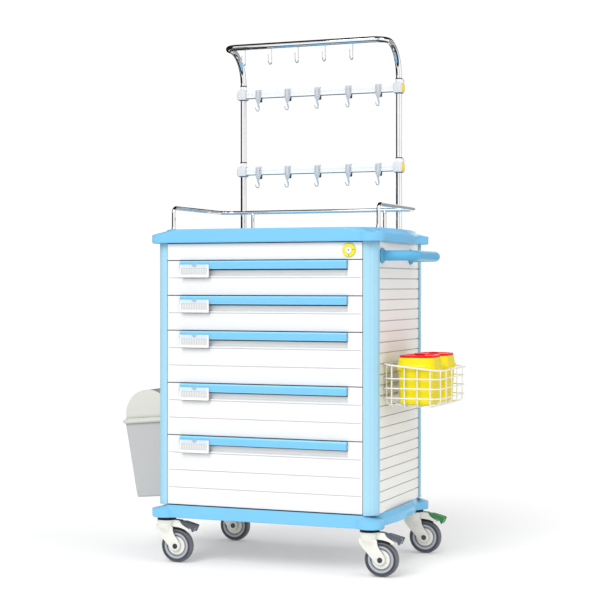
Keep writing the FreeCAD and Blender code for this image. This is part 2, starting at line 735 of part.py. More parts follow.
def sharps_bin(y):
    """A rounded-square box that widens to a collar, then slopes in to its mouth."""
    x = SHARPS_X
    hx = SHARPS_HALF_X
    hy = SHARPS_HALF_Y
    lower = loft([rounded_rect(x, y, hx - 9, hy - 9, 26, SHARPS_LOW),
                  rounded_rect(x, y, hx - 4, hy - 4, 30, SHARPS_COLLAR - 8)])
    collar = loft([rounded_rect(x, y, hx - 1, hy - 1, 32, SHARPS_COLLAR - 8),
                   rounded_rect(x, y, hx, hy, 33, SHARPS_COLLAR),
                   rounded_rect(x, y, hx - 2, hy - 2, 32, SHARPS_COLLAR + 9)])
    shoulder = loft([rounded_rect(x, y, hx - 2, hy - 2, 32, SHARPS_COLLAR + 9),
                     rounded_rect(x, y, hx - 6, hy - 6, 30, SHARPS_TOP)])
    return fuse([lower, collar, shoulder])


def sharps_lid(y):
    x = SHARPS_X
    hx = SHARPS_HALF_X - 7
    hy = SHARPS_HALF_Y - 7
    disc = loft([rounded_rect(x, y, hx, hy, 30, SHARPS_TOP),
                 rounded_rect(x, y, hx - 1.5, hy - 1.5, 29, SHARPS_LID_TOP)])
    grip = box(x - 14, x + 14, y - 2, y + 2, SHARPS_LID_TOP, SHARPS_LID_TOP + 6)
    return fuse([disc, grip])


def bin_place(shape):
    """Lean a shape built about the bin's own axis outwards and hang it at the left side."""
    placed = shape.copy()
    placed.rotate(V(0, 0, 0), V(0, 1, 0), -BIN_TILT)
    placed.translate(V(BIN_X, BIN_Y, BIN_Z))
    return placed


def bin_bucket():
    bx, by = BIN_BOTTOM_HALF
    tx, ty = BIN_TOP_HALF
    w = BIN_WALL
    outer = loft([rounded_rect(0, 0, bx, by, 14, 0), rounded_rect(0, 0, tx, ty, 20, BIN_HIGH)])
    grow = (tx - bx) * w / BIN_HIGH
    inner = loft([rounded_rect(0, 0, bx - w + grow, by - w + grow, 12, w),
                  rounded_rect(0, 0, tx - w, ty - w, 18, BIN_HIGH)])
    return bin_place(outer.cut(inner))


def dome_end(r, straight, y0, y1):
    """A flat end wall: a round arch on short straight sides."""
    z = LID_TOP_Z
    top = z + straight
    a = V(-r, y0, z)
    b = V(-r, y0, top)
    c = V(0, y0, top + r)
    d = V(r, y0, top)
    e = V(r, y0, z)
    face = Part.Face(Part.Wire([line(a, b), arc(b, c, d), line(d, e), line(e, a)]))
    return face.extrude(V(0, y1 - y0, 0))


def bin_lid():
    rx, ry = BIN_RIM_HALF
    tx, ty = BIN_TOP_HALF
    skirt = loft([rounded_rect(0, 0, rx - 4, ry - 4, 24, BIN_RIM_LOW),
                  rounded_rect(0, 0, rx, ry, 26, BIN_RIM_LOW + 5)])
    band = slab(rounded_rect(0, 0, rx, ry, 26, BIN_RIM_LOW + 5), BIN_RIM_WIDEST - BIN_RIM_LOW - 5)
    brow = loft([rounded_rect(0, 0, rx, ry, 26, BIN_RIM_WIDEST),
                 rounded_rect(0, 0, DOME_HALF + 4, DOME_END_OUT + 2, 16, LID_TOP_Z)])
    skirt = fuse([skirt, band, brow])
    pocket = slab(rounded_rect(0, 0, tx + 0.3, ty + 0.3, 20, BIN_RIM_LOW - 1), 11.05)
    mouth = slab(rounded_rect(0, 0, DOME_HALF + 1.5, DOME_END_IN, 6, BIN_HIGH - 1), 30)
    ends = []
    for y0, y1 in ((-DOME_END_OUT, -DOME_END_IN), (DOME_END_IN, DOME_END_OUT)):
        ends.append(dome_end(DOME_HALF, DOME_STRAIGHT, y0, y1))
    lid = fuse([skirt.cut(pocket).cut(mouth)] + ends)
    hole = cyl(FLAP_PIN_R + AXLE_FIT, 300, V(FLAP_PIVOT_X, -150, FLAP_PIVOT_Z), V(0, 1, 0))
    return bin_place(lid.cut(hole))


def bin_flap():
    """A curved push flap with two end webs and a pivot pin on each, set above its balance."""
    w = DOME_END_IN - 0.6
    z = LID_TOP_Z + DOME_STRAIGHT
    shell = cyl(FLAP_R, 2 * w, V(0, -w, z), V(0, 1, 0))
    shell = shell.cut(cyl(FLAP_R - 2.5, 2 * w - 5, V(0, -w + 2.5, z), V(0, 1, 0)))
    shell = shell.cut(box(-90, 90, -120, 120, z - 90, z))
    pins = []
    for y0, y1 in ((-DOME_END_OUT + 0.2, -w + 2.5), (w - 2.5, DOME_END_OUT - 0.2)):
        pins.append(cyl(FLAP_PIN_R, y1 - y0, V(FLAP_PIVOT_X, y0, FLAP_PIVOT_Z), V(0, 1, 0)))
    return bin_place(fuse([shell] + pins))


def bin_hanger():
    """A wall bracket on the left panel: a back plate and two arms that the bin's rim rests over."""
    x0 = -PANEL_X
    plate = box(x0 - 3, x0, BIN_Y - 60, BIN_Y + 60, 330, 406.4)
    arms = []
    for y in (BIN_Y - 50, BIN_Y + 30):
        arms.append(box(x0 - 11, x0, y, y + 20, 350, 406.4))
    return fuse([plate] + arms)


def place(shape):
    moved = shape.copy()
    moved.translate(V(SHIFT_X, SHIFT_Y, 0))
    return moved


def castor_nodes():
    nodes = {}
    parts = {"fork": castor_fork(), "wheel": castor_wheel(), "pedal": castor_pedal()}
    for side, x in (("left", -CASTOR_X), ("right", CASTOR_X)):
        for end, y in (("front", CASTOR_Y), ("rear", DEPTH - CASTOR_Y)):
            for name, shape in parts.items():
                moved = shape.copy()
                moved.translate(V(x, y, 0))
                nodes["castor_" + end + "_" + side + "_" + name] = moved
    return nodes


def all_nodes():
    nodes = {
        "base_tray": base_tray(),
        "corner_posts": corner_posts(),
        "wall_panels": wall_panels(),
        "header_panel": header_panel(),
        "worktop": worktop(),
        "drawer_runners": drawer_runners(),
        "lock_ring": lock_ring(),
        "lock_knob": lock_knob(),
        "push_handle": push_handle(),
        "guard_rail": guard_rail(),
        "iv_frame": iv_frame(),
        "swivel_rings": swivel_rings(),
        "wire_basket": wire_basket(),
        "bin_hanger": bin_hanger(),
        "bin_bucket": bin_bucket(),
        "bin_lid": bin_lid(),
        "bin_flap": bin_flap(),
    }
    for n, (z0, z1) in enumerate(drawer_levels(), 1):
        nodes["drawer_%d_front" % n] = drawer_front(z0, z1)
        nodes["drawer_%d_grip" % n] = drawer_grip(z1)
        nodes["drawer_%d_tray" % n] = drawer_tray(z0, z1)
    for level, top in RAIL_TOPS.items():
        nodes["rail_" + level] = hook_rail(top)
        for n, x in enumerate(HOOK_X, 1):
            nodes["hook_%s_%d" % (level, n)] = sliding_hook(x, top)
    for which, y in zip(("front", "rear"), SHARPS_Y):
        nodes["sharps_" + which + "_body"] = sharps_bin(y)
        nodes["sharps_" + which + "_lid"] = sharps_lid(y)
    nodes.update(castor_nodes())
    return nodes


def main():
    os.makedirs("parts", exist_ok=True)
    for name, shape in all_nodes().items():
        place(shape).exportStep("parts/" + name + ".step")


main()
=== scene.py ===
import bmesh
import bpy
import math
from mathutils import Matrix, Vector


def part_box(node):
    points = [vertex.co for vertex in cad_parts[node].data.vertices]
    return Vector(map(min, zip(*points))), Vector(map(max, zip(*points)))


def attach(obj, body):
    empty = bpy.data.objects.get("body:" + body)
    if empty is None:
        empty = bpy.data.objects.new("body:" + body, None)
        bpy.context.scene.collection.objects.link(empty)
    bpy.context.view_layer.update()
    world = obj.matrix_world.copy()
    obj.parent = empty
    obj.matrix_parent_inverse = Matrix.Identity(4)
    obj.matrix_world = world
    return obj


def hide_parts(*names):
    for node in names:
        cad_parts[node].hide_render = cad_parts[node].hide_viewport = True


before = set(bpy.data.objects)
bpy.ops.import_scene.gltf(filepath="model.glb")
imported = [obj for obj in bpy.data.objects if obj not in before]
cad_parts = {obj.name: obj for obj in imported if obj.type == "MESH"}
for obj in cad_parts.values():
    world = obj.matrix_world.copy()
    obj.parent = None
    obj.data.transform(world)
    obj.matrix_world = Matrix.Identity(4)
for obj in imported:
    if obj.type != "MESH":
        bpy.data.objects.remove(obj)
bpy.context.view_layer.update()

# Cart frame, as in the CAD source: millimetres, X = 0 on the drawers' centreline, Y = 0 on the
# drawer faces with +Y towards the back, Z = 0 on the floor. The header panel fixes where it lies.
MM = 0.001
# The radius at which a turned profile closes on its axis, in millimetres
AXIS = 0.001
FACE_LO, FACE_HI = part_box("header_panel")
ORIGIN = Vector(((FACE_LO.x + FACE_HI.x) / 2.0, FACE_LO.y, 0.0))

# Camera, floor, sky and studio cards
LENS, SENSOR, SHIFT_Y, FAR_CLIP = 92.82, 36.0, -0.0252, 80.0
CAMERA_AT, CAMERA_TURN = (1762.2, -4159.8, 831.4), 21.57
FLOOR_REACH, FLOOR_SHADE, FLOOR_GLOW = 60.0, 0.86, 0.12
SKY_HORIZON, SKY_OVERHEAD, SKY_BAND = 1.02, 0.42, (0.30, 0.60)
GROUND_LEVEL, GROUND_BAND = 0.03, (-0.56, -0.46)
CARD_DISTANCE, CARD_CENTRE_Z, CARD_STEPS = 4.2, 0.8, 10
# Each light's azimuth, elevation, level and spread
LIGHTS = {
    "front_light": (-6.0, 44.0, 0.47, 32.0),
    "right_light": (80.0, 42.0, 0.15, 40.0),
    "top_light": (0.0, 88.0, 0.15, 50.0),
}
# Each card's shade, azimuths and elevations
CARDS = {
    "flag_left": (0.01, (-165.0, -26.0), (-16.0, 10.0)),
    "flag_left_high": (0.01, (-160.0, -50.0), (10.0, 50.0)),
    "flag_right": (0.5, (34.0, 50.0), (-14.0, 24.0)),
    "flag_far_right": (0.3, (132.0, 172.0), (-14.0, 22.0)),
    "flag_behind": (0.01, (90.0, 270.0), (24.0, 50.0)),
    "flag_overhead_back": (0.01, (90.0, 270.0), (50.0, 90.0)),
    "flag_overhead_front": (0.01, (-90.0, 90.0), (52.0, 90.0)),
}
# Carcass
SLAT = 52.0
FRONT_HALF = 308.5
DEPTH = 474.0
MID_Y = DEPTH / 2.0
POST_INNER, POST_OUTER, POST_SIDE, POST_ROUND = 309.5, 346.6, 44.0, 34.0
# The angle round the corner and the depth of each flute
POST_FLUTES = ((36.0, 0.8), (60.0, 1.1))
PANEL_X, PANEL_THICK, BACK_Y = 341.6, 4.0, 466.0
BASE_BOTTOM, BASE_SHOULDER, BASE_TOP, BASE_FRONT_Y = 136.0, 160.0, 174.0, -3.0
DECK_BOTTOM, DECK_SHOULDER, DECK_TOP, DECK_FRONT_Y = 956.0, 981.0, 997.0, -14.0
DECK_FLOOR = 980.0
LOBE_X, LOBE_Y, LOBE_R, LOBE_FILLET = 325.0, 22.0, 41.0, 24.0
SIDE_BOW_R, SIDE_BOW_X, TOP_INSET = 829.0, 363.0, 7.0
GROOVE_PITCH, GROOVE_TOP, GROOVE_COUNT = 30.7, 880.3, 23
# Drawers
DRAWER_SLATS = (2, 2, 3, 3, 4)
DRAWER_TOP = 904.0
FRONT_GAP, FRONT_THICK = 1.2, 18.0
GRIP_HALF, GRIP_TALL, GRIP_OUT = 264.0, 26.0, 10.0
FINGER_TALL, FINGER_DEEP = 46.0, 9.0
LABEL_LEFT, LABEL_WIDE, LABEL_TALL, LABEL_DROP = -261.0, 94.0, 39.0, 12.0
TRAY_HALF, TRAY_BACK, TRAY_WALL, TRAY_LIFT, TRAY_TOP_GAP = 290.0, 430.0, 3.0, 9.0, 20.0
FLANGE_HALF, FLANGE_LIFT, FLANGE_THICK = 308.0, 34.0, 4.0
# Lock, handle, rails and drip frame
LOCK_X, LOCK_Z, LOCK_RING_R, LOCK_KNOB_R = 268.6, 931.0, 19.5, 10.0
HANDLE_Z, HANDLE_R, HANDLE_REACH = 916.0, 15.0, 432.0
HANDLE_FRONT, HANDLE_BACK, HANDLE_BEND, HANDLE_FLANGE_R = 75.0, 348.0, 48.0, 22.5
GUARD_R, GUARD_Z, GUARD_X = 6.0, 1066.0, 329.0
GUARD_FRONT, GUARD_REAR, GUARD_POST_X = 84.0, 452.0, 225.0
POLE_R, POLE_X, POLE_Y, POLE_BEND_Z, POLE_BEND = 9.5, 266.0, 470.0, 1482.0, 100.0
TOP_BAR_Y, TOP_BAR_BEND = 320.0, 42.0
TOP_BAR_Z = POLE_BEND_Z + POLE_BEND
TOP_HOOK_X = (-194.0, -104.0, -14.0, 76.0, 166.0)
TOP_HOOK_R, TOP_HOOK_LOW, TOP_HOOK_OPEN = 1.6, 1520.0, 27.0
RAIL_TOPS = {"upper": 1461.0, "lower": 1212.5}
RAIL_TALL, RAIL_FRONT, RAIL_BACK = 25.0, 458.0, 466.0
CLAMP_HALF, CLAMP_TALL, CLAMP_FRONT, CLAMP_BACK = 14.5, 33.0, 452.0, 484.0
COLLAR_R, COLLAR_TALL, CAP_R = 13.0, 16.0, 9.5
HOOK_X = (-208.0, -106.0, -3.0, 102.0, 202.0)
HOOK_WIDE = 19.0
# Castors
CASTOR_X, CASTOR_Y, TRAIL = 322.6, 24.3, 36.4
WHEEL_R, WHEEL_WIDE = 50.0, 25.0
RING_R, RING_LOW, FORK_R, FORK_LOW = 28.5, 127.0, 29.0, 108.0
LEG_IN, LEG_OUT = 14.0, 18.5
PEDAL_X, PEDAL_Z = 34.0, 119.5
# Basket and sharps bins
BASKET_LEFT, BASKET_RIGHT, BASKET_FRONT, BASKET_BACK = 344.0, 517.0, 66.0, 357.0
BASKET_RIM_IN, BASKET_RIM_OUT, BASKET_LOW = 603.0, 586.0, 479.0
BASKET_WIRE_R, BASKET_RIM_R, BASKET_CORNER = 2.0, 2.5, 26.0
BASKET_LOOP_Z = (562.0, 534.0, 506.0)
SHARPS_X, SHARPS_Y = 436.0, (141.0, 281.0)
SHARPS_HALF_X, SHARPS_HALF_Y = 58.0, 66.0
SHARPS_LOW, SHARPS_COLLAR, SHARPS_TOP, SHARPS_LID_TOP = 487.1, 592.0, 622.0, 629.0
# Waste bin
BIN_TILT, BIN_X, BIN_Y, BIN_Z, BIN_HIGH = 4.8, -417.8, 233.0, 176.0, 240.0
BIN_BOTTOM_HALF, BIN_TOP_HALF, BIN_RIM_HALF = (65.0, 103.0), (85.0, 112.0), (93.0, 120.0)
BIN_RIM_LOW, BIN_RIM_WIDEST, LID_TOP_Z = 230.0, 239.0, 246.0
DOME_HALF, DOME_STRAIGHT, DOME_END_OUT, DOME_END_IN = 77.0, 9.0, 106.0, 103.0
FLAP_R, FLAP_PIVOT_X, FLAP_PIVOT_Z, FLAP_PIN_R = 75.5, 1.0, 310.0, 3.0


# ---------------------------------------------------------------- stage

def added(name, data):
    """A new object in the scene."""
    obj = bpy.data.objects.new(name, data)
    bpy.context.scene.collection.objects.link(obj)
    return obj


def camera():
    data = bpy.data.cameras.new("camera")
    data.sensor_width = SENSOR
    data.lens = LENS
    data.shift_y = SHIFT_Y
    data.clip_end = FAR_CLIP
    obj = added("camera", data)
    obj.location = ORIGIN + Vector(CAMERA_AT) * MM
    obj.rotation_euler = (math.radians(90.0), 0.0, math.radians(CAMERA_TURN))
    bpy.context.scene.camera = obj


def heading(azimuth, elevation):
    """The direction out from the cart, azimuth 0 in front and 90 on the right, in degrees."""
    turn, rise = math.radians(azimuth), math.radians(elevation)
    flat = math.cos(rise)
    return Vector((math.sin(turn) * flat, -math.cos(turn) * flat, math.sin(rise)))


def soft_sun(name, azimuth, elevation, level, spread):
    """A wide soft light; level is what it adds to a surface that faces it."""
    data = bpy.data.lights.new(name, "SUN")
    data.energy = level * math.pi
    data.angle = math.radians(spread)
    turn = heading(azimuth, elevation).to_track_quat("Z", "Y")
    added(name, data).rotation_euler = turn.to_euler()


def matt(name, shade, rough, specular):
    """A grey studio material and its shader."""
    made = bpy.data.materials.new(name)
    made.use_nodes = True
    shader = made.node_tree.nodes["Principled BSDF"]
    shader.inputs["Base Color"].default_value = (shade, shade, shade, 1.0)
    shader.inputs["Roughness"].default_value = rough
    shader.inputs["Specular IOR Level"].default_value = specular
    return made, shader


def studio_card(name, shade, azimuths, elevations):
    """A curved card that only shows in reflections and gives the chrome its edges."""
    centre = Vector((0.0, 0.0, CARD_CENTRE_Z))
    points, faces = [], []
    for i in range(CARD_STEPS + 1):
        azimuth = azimuths[0] + (azimuths[1] - azimuths[0]) * i / CARD_STEPS
        points += [heading(azimuth, rise) * CARD_DISTANCE + centre for rise in elevations]
        if i:
            faces.append((2 * i - 2, 2 * i - 1, 2 * i + 1, 2 * i))
    mesh = bpy.data.meshes.new(name)
    mesh.from_pydata(points, [], faces)
    mesh.materials.append(matt(name, shade, 1.0, 0.0)[0])
    card = added(name, mesh)
    for rays in ("camera", "diffuse", "shadow", "transmission"):
        setattr(card, "visible_" + rays, False)


class Nodes:
    """Short ways to add to a node tree."""

    def __init__(self, owner):
        owner.use_nodes = True
        self.tree = owner.node_tree

    def node(self, kind, **values):
        made = self.tree.nodes.new(kind)
        for key, value in values.items():
            setattr(made, key, value)
        return made

    def link(self, a, b):
        self.tree.links.new(a, b)

    def span(self, value, lo, hi, from_lo=0.3, from_hi=0.7):
        """A value between from_lo and from_hi carried onto lo to hi."""
        made = self.node("ShaderNodeMapRange")
        ends = {"From Min": from_lo, "From Max": from_hi, "To Min": lo, "To Max": hi}
        for socket, end in ends.items():
            made.inputs[socket].default_value = end
        self.link(value, made.inputs["Value"])
        return made.outputs["Result"]


def studio_sky():
    """A white band round the horizon, dimmer overhead; only reflections see the dark below."""
    world = bpy.data.worlds.new("studio")
    bpy.context.scene.world = world
    sky = Nodes(world)
    way = sky.node("ShaderNodeTexCoord")
    parts = sky.node("ShaderNodeSeparateXYZ")
    sky.link(way.outputs["Generated"], parts.inputs["Vector"])
    height = parts.outputs["Z"]
    level = sky.span(height, SKY_HORIZON, SKY_OVERHEAD, *SKY_BAND)
    below = sky.span(height, GROUND_LEVEL, 1.0, *GROUND_BAND)
    both = sky.node("ShaderNodeMath", operation="MULTIPLY")
    sky.link(level, both.inputs[0])
    sky.link(below, both.inputs[1])
    back = sky.tree.nodes["Background"]
    back.inputs["Color"].default_value = (1.0, 1.0, 1.0, 1.0)
    sky.link(both.outputs["Value"], back.inputs["Strength"])


def stage():
    bpy.context.scene.view_settings.view_transform = "Standard"
    studio_sky()
    mesh = bpy.data.meshes.new("floor")
    corners = ((-1, -1), (1, -1), (1, 1), (-1, 1))
    mesh.from_pydata([(x * FLOOR_REACH, y * FLOOR_REACH, 0.0) for x, y in corners], [],
        [(0, 1, 2, 3)])
    floor = added("floor", mesh)
    pale, shader = matt("floor", FLOOR_SHADE, 0.8, 0.1)
    shader.inputs["Emission Color"].default_value = (1.0, 1.0, 1.0, 1.0)
    shader.inputs["Emission Strength"].default_value = FLOOR_GLOW
    mesh.materials.append(pale)
    floor.visible_glossy = False
    for name, values in LIGHTS.items():
        soft_sun(name, *values)
    for name, values in CARDS.items():
        studio_card(name, *values)


# ---------------------------------------------------------------- materials

class Finish(Nodes):
    """A node material with object coordinates in metres."""

    def __init__(self, name):
        self.material = bpy.data.materials.new(name)
        super().__init__(self.material)
        self.shader = self.tree.nodes["Principled BSDF"]
        self.where = self.node("ShaderNodeTexCoord").outputs["Object"]

    def use(self, socket, value):
        """Sets an input of the shader to a number, or links it."""
        if isinstance(value, float):
            self.shader.inputs[socket].default_value = value
        else:
            self.link(value, self.shader.inputs[socket])

    def noise(self, scale, detail=3.0, roughness=0.5, where=None):
        made = self.node("ShaderNodeTexNoise")
        made.inputs["Scale"].default_value = scale
        made.inputs["Detail"].default_value = detail
        made.inputs["Roughness"].default_value = roughness
        self.link(where or self.where, made.inputs["Vector"])
        return made.outputs["Fac"]

    def cloud(self, *noise):
        """Soft noise from 0 to 1."""
        return self.span(self.noise(*noise), 0.0, 1.0)

    def stretched(self, sx, sy, sz):
        made = self.node("ShaderNodeMapping")
        made.inputs["Scale"].default_value = (sx, sy, sz)
        self.link(self.where, made.inputs["Vector"])
        return made.outputs["Vector"]

    def blend(self, value, a, b):
        made = self.node("ShaderNodeMix", data_type="RGBA")
        for socket, colour in ((6, a), (7, b)):
            if isinstance(colour, tuple):
                made.inputs[socket].default_value = (*colour, 1.0)
            else:
                self.link(colour, made.inputs[socket])
        self.link(value, made.inputs["Factor"])
        return made.outputs[2]

    def bump(self, value, strength, distance):
        made = self.node("ShaderNodeBump")
        made.inputs["Strength"].default_value = strength
        made.inputs["Distance"].default_value = distance
        self.link(value, made.inputs["Height"])
        self.use("Normal", made.outputs["Normal"])

    def edges(self):
        """How far a point is on a convex edge, 0 to 1."""
        value = self.node("ShaderNodeNewGeometry").outputs["Pointiness"]
        return self.span(value, 0.0, 1.0, 0.56, 0.68)


def tint(colour, factor):
    return tuple(min(1.0, c * factor) for c in colour)


def srgb(display):
    """An 8-bit display colour as linear values."""
    made = []
    for c in display:
        c = c / 255.0
        made.append(c / 12.92 if c <= 0.04045 else ((c + 0.055) / 1.055) ** 2.4)
    return tuple(made)


def plastic(name, colour, rough=0.35, grain=0.06, grain_scale=900.0, worn=1.06, shine=0.5,
        hollow=0.012):
    """Moulded plastic: faint clouds, fine grain, uneven gloss, paler edges, painted shade in
    hollows.
    """
    f = Finish(name)
    colour = srgb(colour)
    base = f.blend(f.cloud(4.0, 3.0, 0.5), tint(colour, 0.985), tint(colour, 1.01))
    speck = f.span(f.noise(650.0, 2.0, 0.7), 0.0, 1.0, 0.62, 0.8)
    base = f.blend(speck, base, tint(colour, 0.93))
    paler = f.blend(f.edges(), base, tint(colour, worn))
    # Painted shade: ambient occlusion within the distance hollow darkens the base colour, down to
    # 0.62 of it in corners, creases and where parts meet.
    shade_probe = f.node("ShaderNodeAmbientOcclusion", samples=8)
    shade_probe.inputs["Distance"].default_value = hollow
    unshaded_share = f.span(shade_probe.outputs["AO"], 0.0, 1.0, 0.42, 0.95)
    f.use("Base Color", f.blend(unshaded_share, tint(colour, 0.62), paler))
    f.use("Roughness", f.span(f.noise(16.0, 4.0, 0.6), rough - 0.03, rough + 0.05))
    f.bump(f.noise(grain_scale, 2.0, 0.6), grain, 0.0003)
    f.use("Specular IOR Level", shine)
    return f.material


def enamel(name, colour, rough=0.22, ripple=0.12):
    """Powder-coated metal: glossy with a fine orange-peel ripple."""
    f = Finish(name)
    colour = srgb(colour)
    base = f.blend(f.cloud(11.0, 3.0, 0.5), tint(colour, 0.97), tint(colour, 1.01))
    f.use("Base Color", f.blend(f.edges(), base, tint(colour, 1.06)))
    f.use("Roughness", f.span(f.noise(60.0, 2.0), rough - 0.04, rough + 0.06))
    f.bump(f.noise(420.0, 2.0, 0.4), ripple, 0.0004)
    return f.material


def chrome(name):
    f = Finish(name)
    smudge = f.cloud(14.0, 4.0, 0.6)
    f.use("Base Color", f.blend(smudge, srgb((240, 242, 244)), srgb((250, 250, 251))))
    f.use("Metallic", 1.0)
    f.use("Roughness", f.span(f.noise(35.0, 5.0, 0.7), 0.02, 0.055))
    f.bump(f.noise(60.0, 2.0), 0.002, 0.0003)
    return f.material


def satin_metal(name, colour, rough=0.34, along=(1.0, 1.0, 1.0), metallic=1.0):
    """Drawn or brushed metal with fine streaks; along squeezes the streaks' length."""
    f = Finish(name)
    colour = srgb(colour)
    streak = f.noise(900.0, 3.0, 0.6, f.stretched(*along))
    f.use("Base Color", f.blend(f.span(streak, 0.0, 1.0), tint(colour, 0.86), colour))
    f.use("Metallic", metallic)
    f.use("Roughness", f.span(streak, rough - 0.1, rough + 0.1))
    f.bump(streak, 0.06, 0.0002)
    return f.material


def rubber(name, colour, rough=0.6):
    """Matt rubber with faint clouds and a little dust."""
    f = Finish(name)
    colour = srgb(colour)
    base = f.blend(f.cloud(40.0, 4.0, 0.6), tint(colour, 0.82), tint(colour, 1.12))
    dust = f.span(f.noise(120.0, 5.0, 0.75), 0.0, 0.35, 0.5, 0.85)
    f.use("Base Color", f.blend(dust, base, tint(colour, 1.7)))
    f.use("Roughness", f.span(f.noise(80.0), rough - 0.08, rough + 0.12))
    f.bump(f.noise(1300.0, 3.0, 0.7), 0.16, 0.0004)
    f.use("Specular IOR Level", 0.35)
    return f.material


MATERIALS = {
    "sky": plastic("sky_blue_plastic", (122, 192, 232), 0.16, 0.02, shine=0.14, hollow=0.06),
    "profile": plastic("pale_blue_profile", (160, 208, 230), 0.16, 0.02, 500.0, 1.04, 0.3, 0.03),
    "handle": plastic("mid_blue_plastic", (94, 172, 213), 0.22, 0.04, shine=0.1, hollow=0.02),
    "white": plastic("white_plastic", (233, 234, 235), 0.32, 0.05, hollow=0.005),
    "panel": plastic("white_panel", (236, 235, 232), 0.36, 0.05, hollow=0.004),
    "under": plastic("underside_grey", (226, 227, 228), 0.5, 0.08),
    "tray": plastic("tray_plastic", (218, 221, 224), 0.42, 0.08),
    # Dark fill that paints the shade in gaps, groove notches and under the grips
    "painted_shade_line": rubber("painted_shade_dark", (58, 50, 46), 0.55),
    "runner": satin_metal("runner_steel", (186, 189, 192), 0.42, (1.0, 0.03, 1.0), 0.35),
    "lock_yellow": plastic("lock_yellow", (240, 228, 20), 0.28, 0.03),
    "lock_barrel": plastic("lock_barrel", (232, 233, 234), 0.25, 0.03),
    "mark": plastic("grey_mark", (112, 114, 120), 0.45, 0.03),
    "chrome": chrome("chrome_tube"),
    "rail": enamel("rail_aluminium", (240, 241, 242), 0.26, 0.02),
    "hook": plastic("hook_plastic", (208, 211, 215), 0.34, 0.03),
    "hook_rib": plastic("hook_rib", (176, 179, 184), 0.34, 0.03),
    "tongue": plastic("tongue_plastic", (184, 194, 202), 0.30, 0.03),
    "clamp": plastic("clamp_plastic", (214, 216, 219), 0.36, 0.04),
    # A pale violet that paints a sheen on the clamps' outer edges
    "clamp_painted_sheen": plastic("clamp_painted_sheen", (206, 208, 232), 0.36, 0.03),
    # A dark blue-grey that paints the shade on the undersides of the rails and clamps
    "painted_underside": plastic("underside_painted_shade", (84, 100, 114), 0.5, 0.05),
    "dark_metal": satin_metal("dark_collar_ring", (96, 98, 102), 0.3),
    "clip": plastic("clip_plastic", (50, 60, 70), 0.45, 0.05),
    "wire": enamel("coated_wire", (232, 232, 228), 0.28, 0.04),
    "black": rubber("black_rubber", (26, 24, 25), 0.45),
    "cream": plastic("castor_cream", (230, 229, 222), 0.32, 0.04),
    "tyre": rubber("tyre_grey", (104, 106, 111), 0.5),
    "side_wall": rubber("tyre_side_wall", (66, 70, 77), 0.45),
    "hub_ring": plastic("hub_ring_grey", (168, 175, 186), 0.32, 0.03),
    "bolt": satin_metal("bolt_steel", (84, 90, 98), 0.34),
    "pedal": plastic("pedal_grey", (78, 84, 94), 0.3, 0.06),
    "pedal_green": plastic("pedal_green", (26, 132, 56), 0.38, 0.08),
    "bin": plastic("bin_grey", (184, 185, 186), 0.42, 0.10, 600.0),
    "bin_cream": plastic("bin_cream", (208, 209, 201), 0.38, 0.06),
    "flap": plastic("flap_grey", (156, 159, 162), 0.40, 0.08),
    "sharps": plastic("sharps_yellow", (238, 220, 4), 0.2, 0.03, 500.0, 1.0, 0.28),
    "sharps_lid": plastic("sharps_red", (240, 12, 26), 0.2, 0.03, 500.0, 1.05, 0.15),
    "label_card": plastic("label_card", (204, 204, 204), 0.5, 0.03),
    "label_rib": plastic("label_rib", (224, 224, 223), 0.5, 0.03),
    "cap": plastic("cap_yellow", (246, 214, 10), 0.28, 0.03),
    # A paler blue that paints the highlight on the grips' bevels
    "grip_bevel_highlight": plastic("sky_blue_painted_highlight", (132, 206, 240), 0.24, 0.03),
    "label_band": plastic("label_band", (204, 220, 236), 0.22, 0.02),
    # A blue-grey that paints the shade seen through each label's notch
    "label_notch_painted_shade": plastic("label_notch_painted_shade", (174, 188, 202), 0.4, 0.02),
    # A mid grey that paints the shadow under each label holder
    "label_painted_shadow": plastic("label_painted_shadow", (132, 132, 134), 0.5, 0.05),
}


# ---------------------------------------------------------------- mesh tools

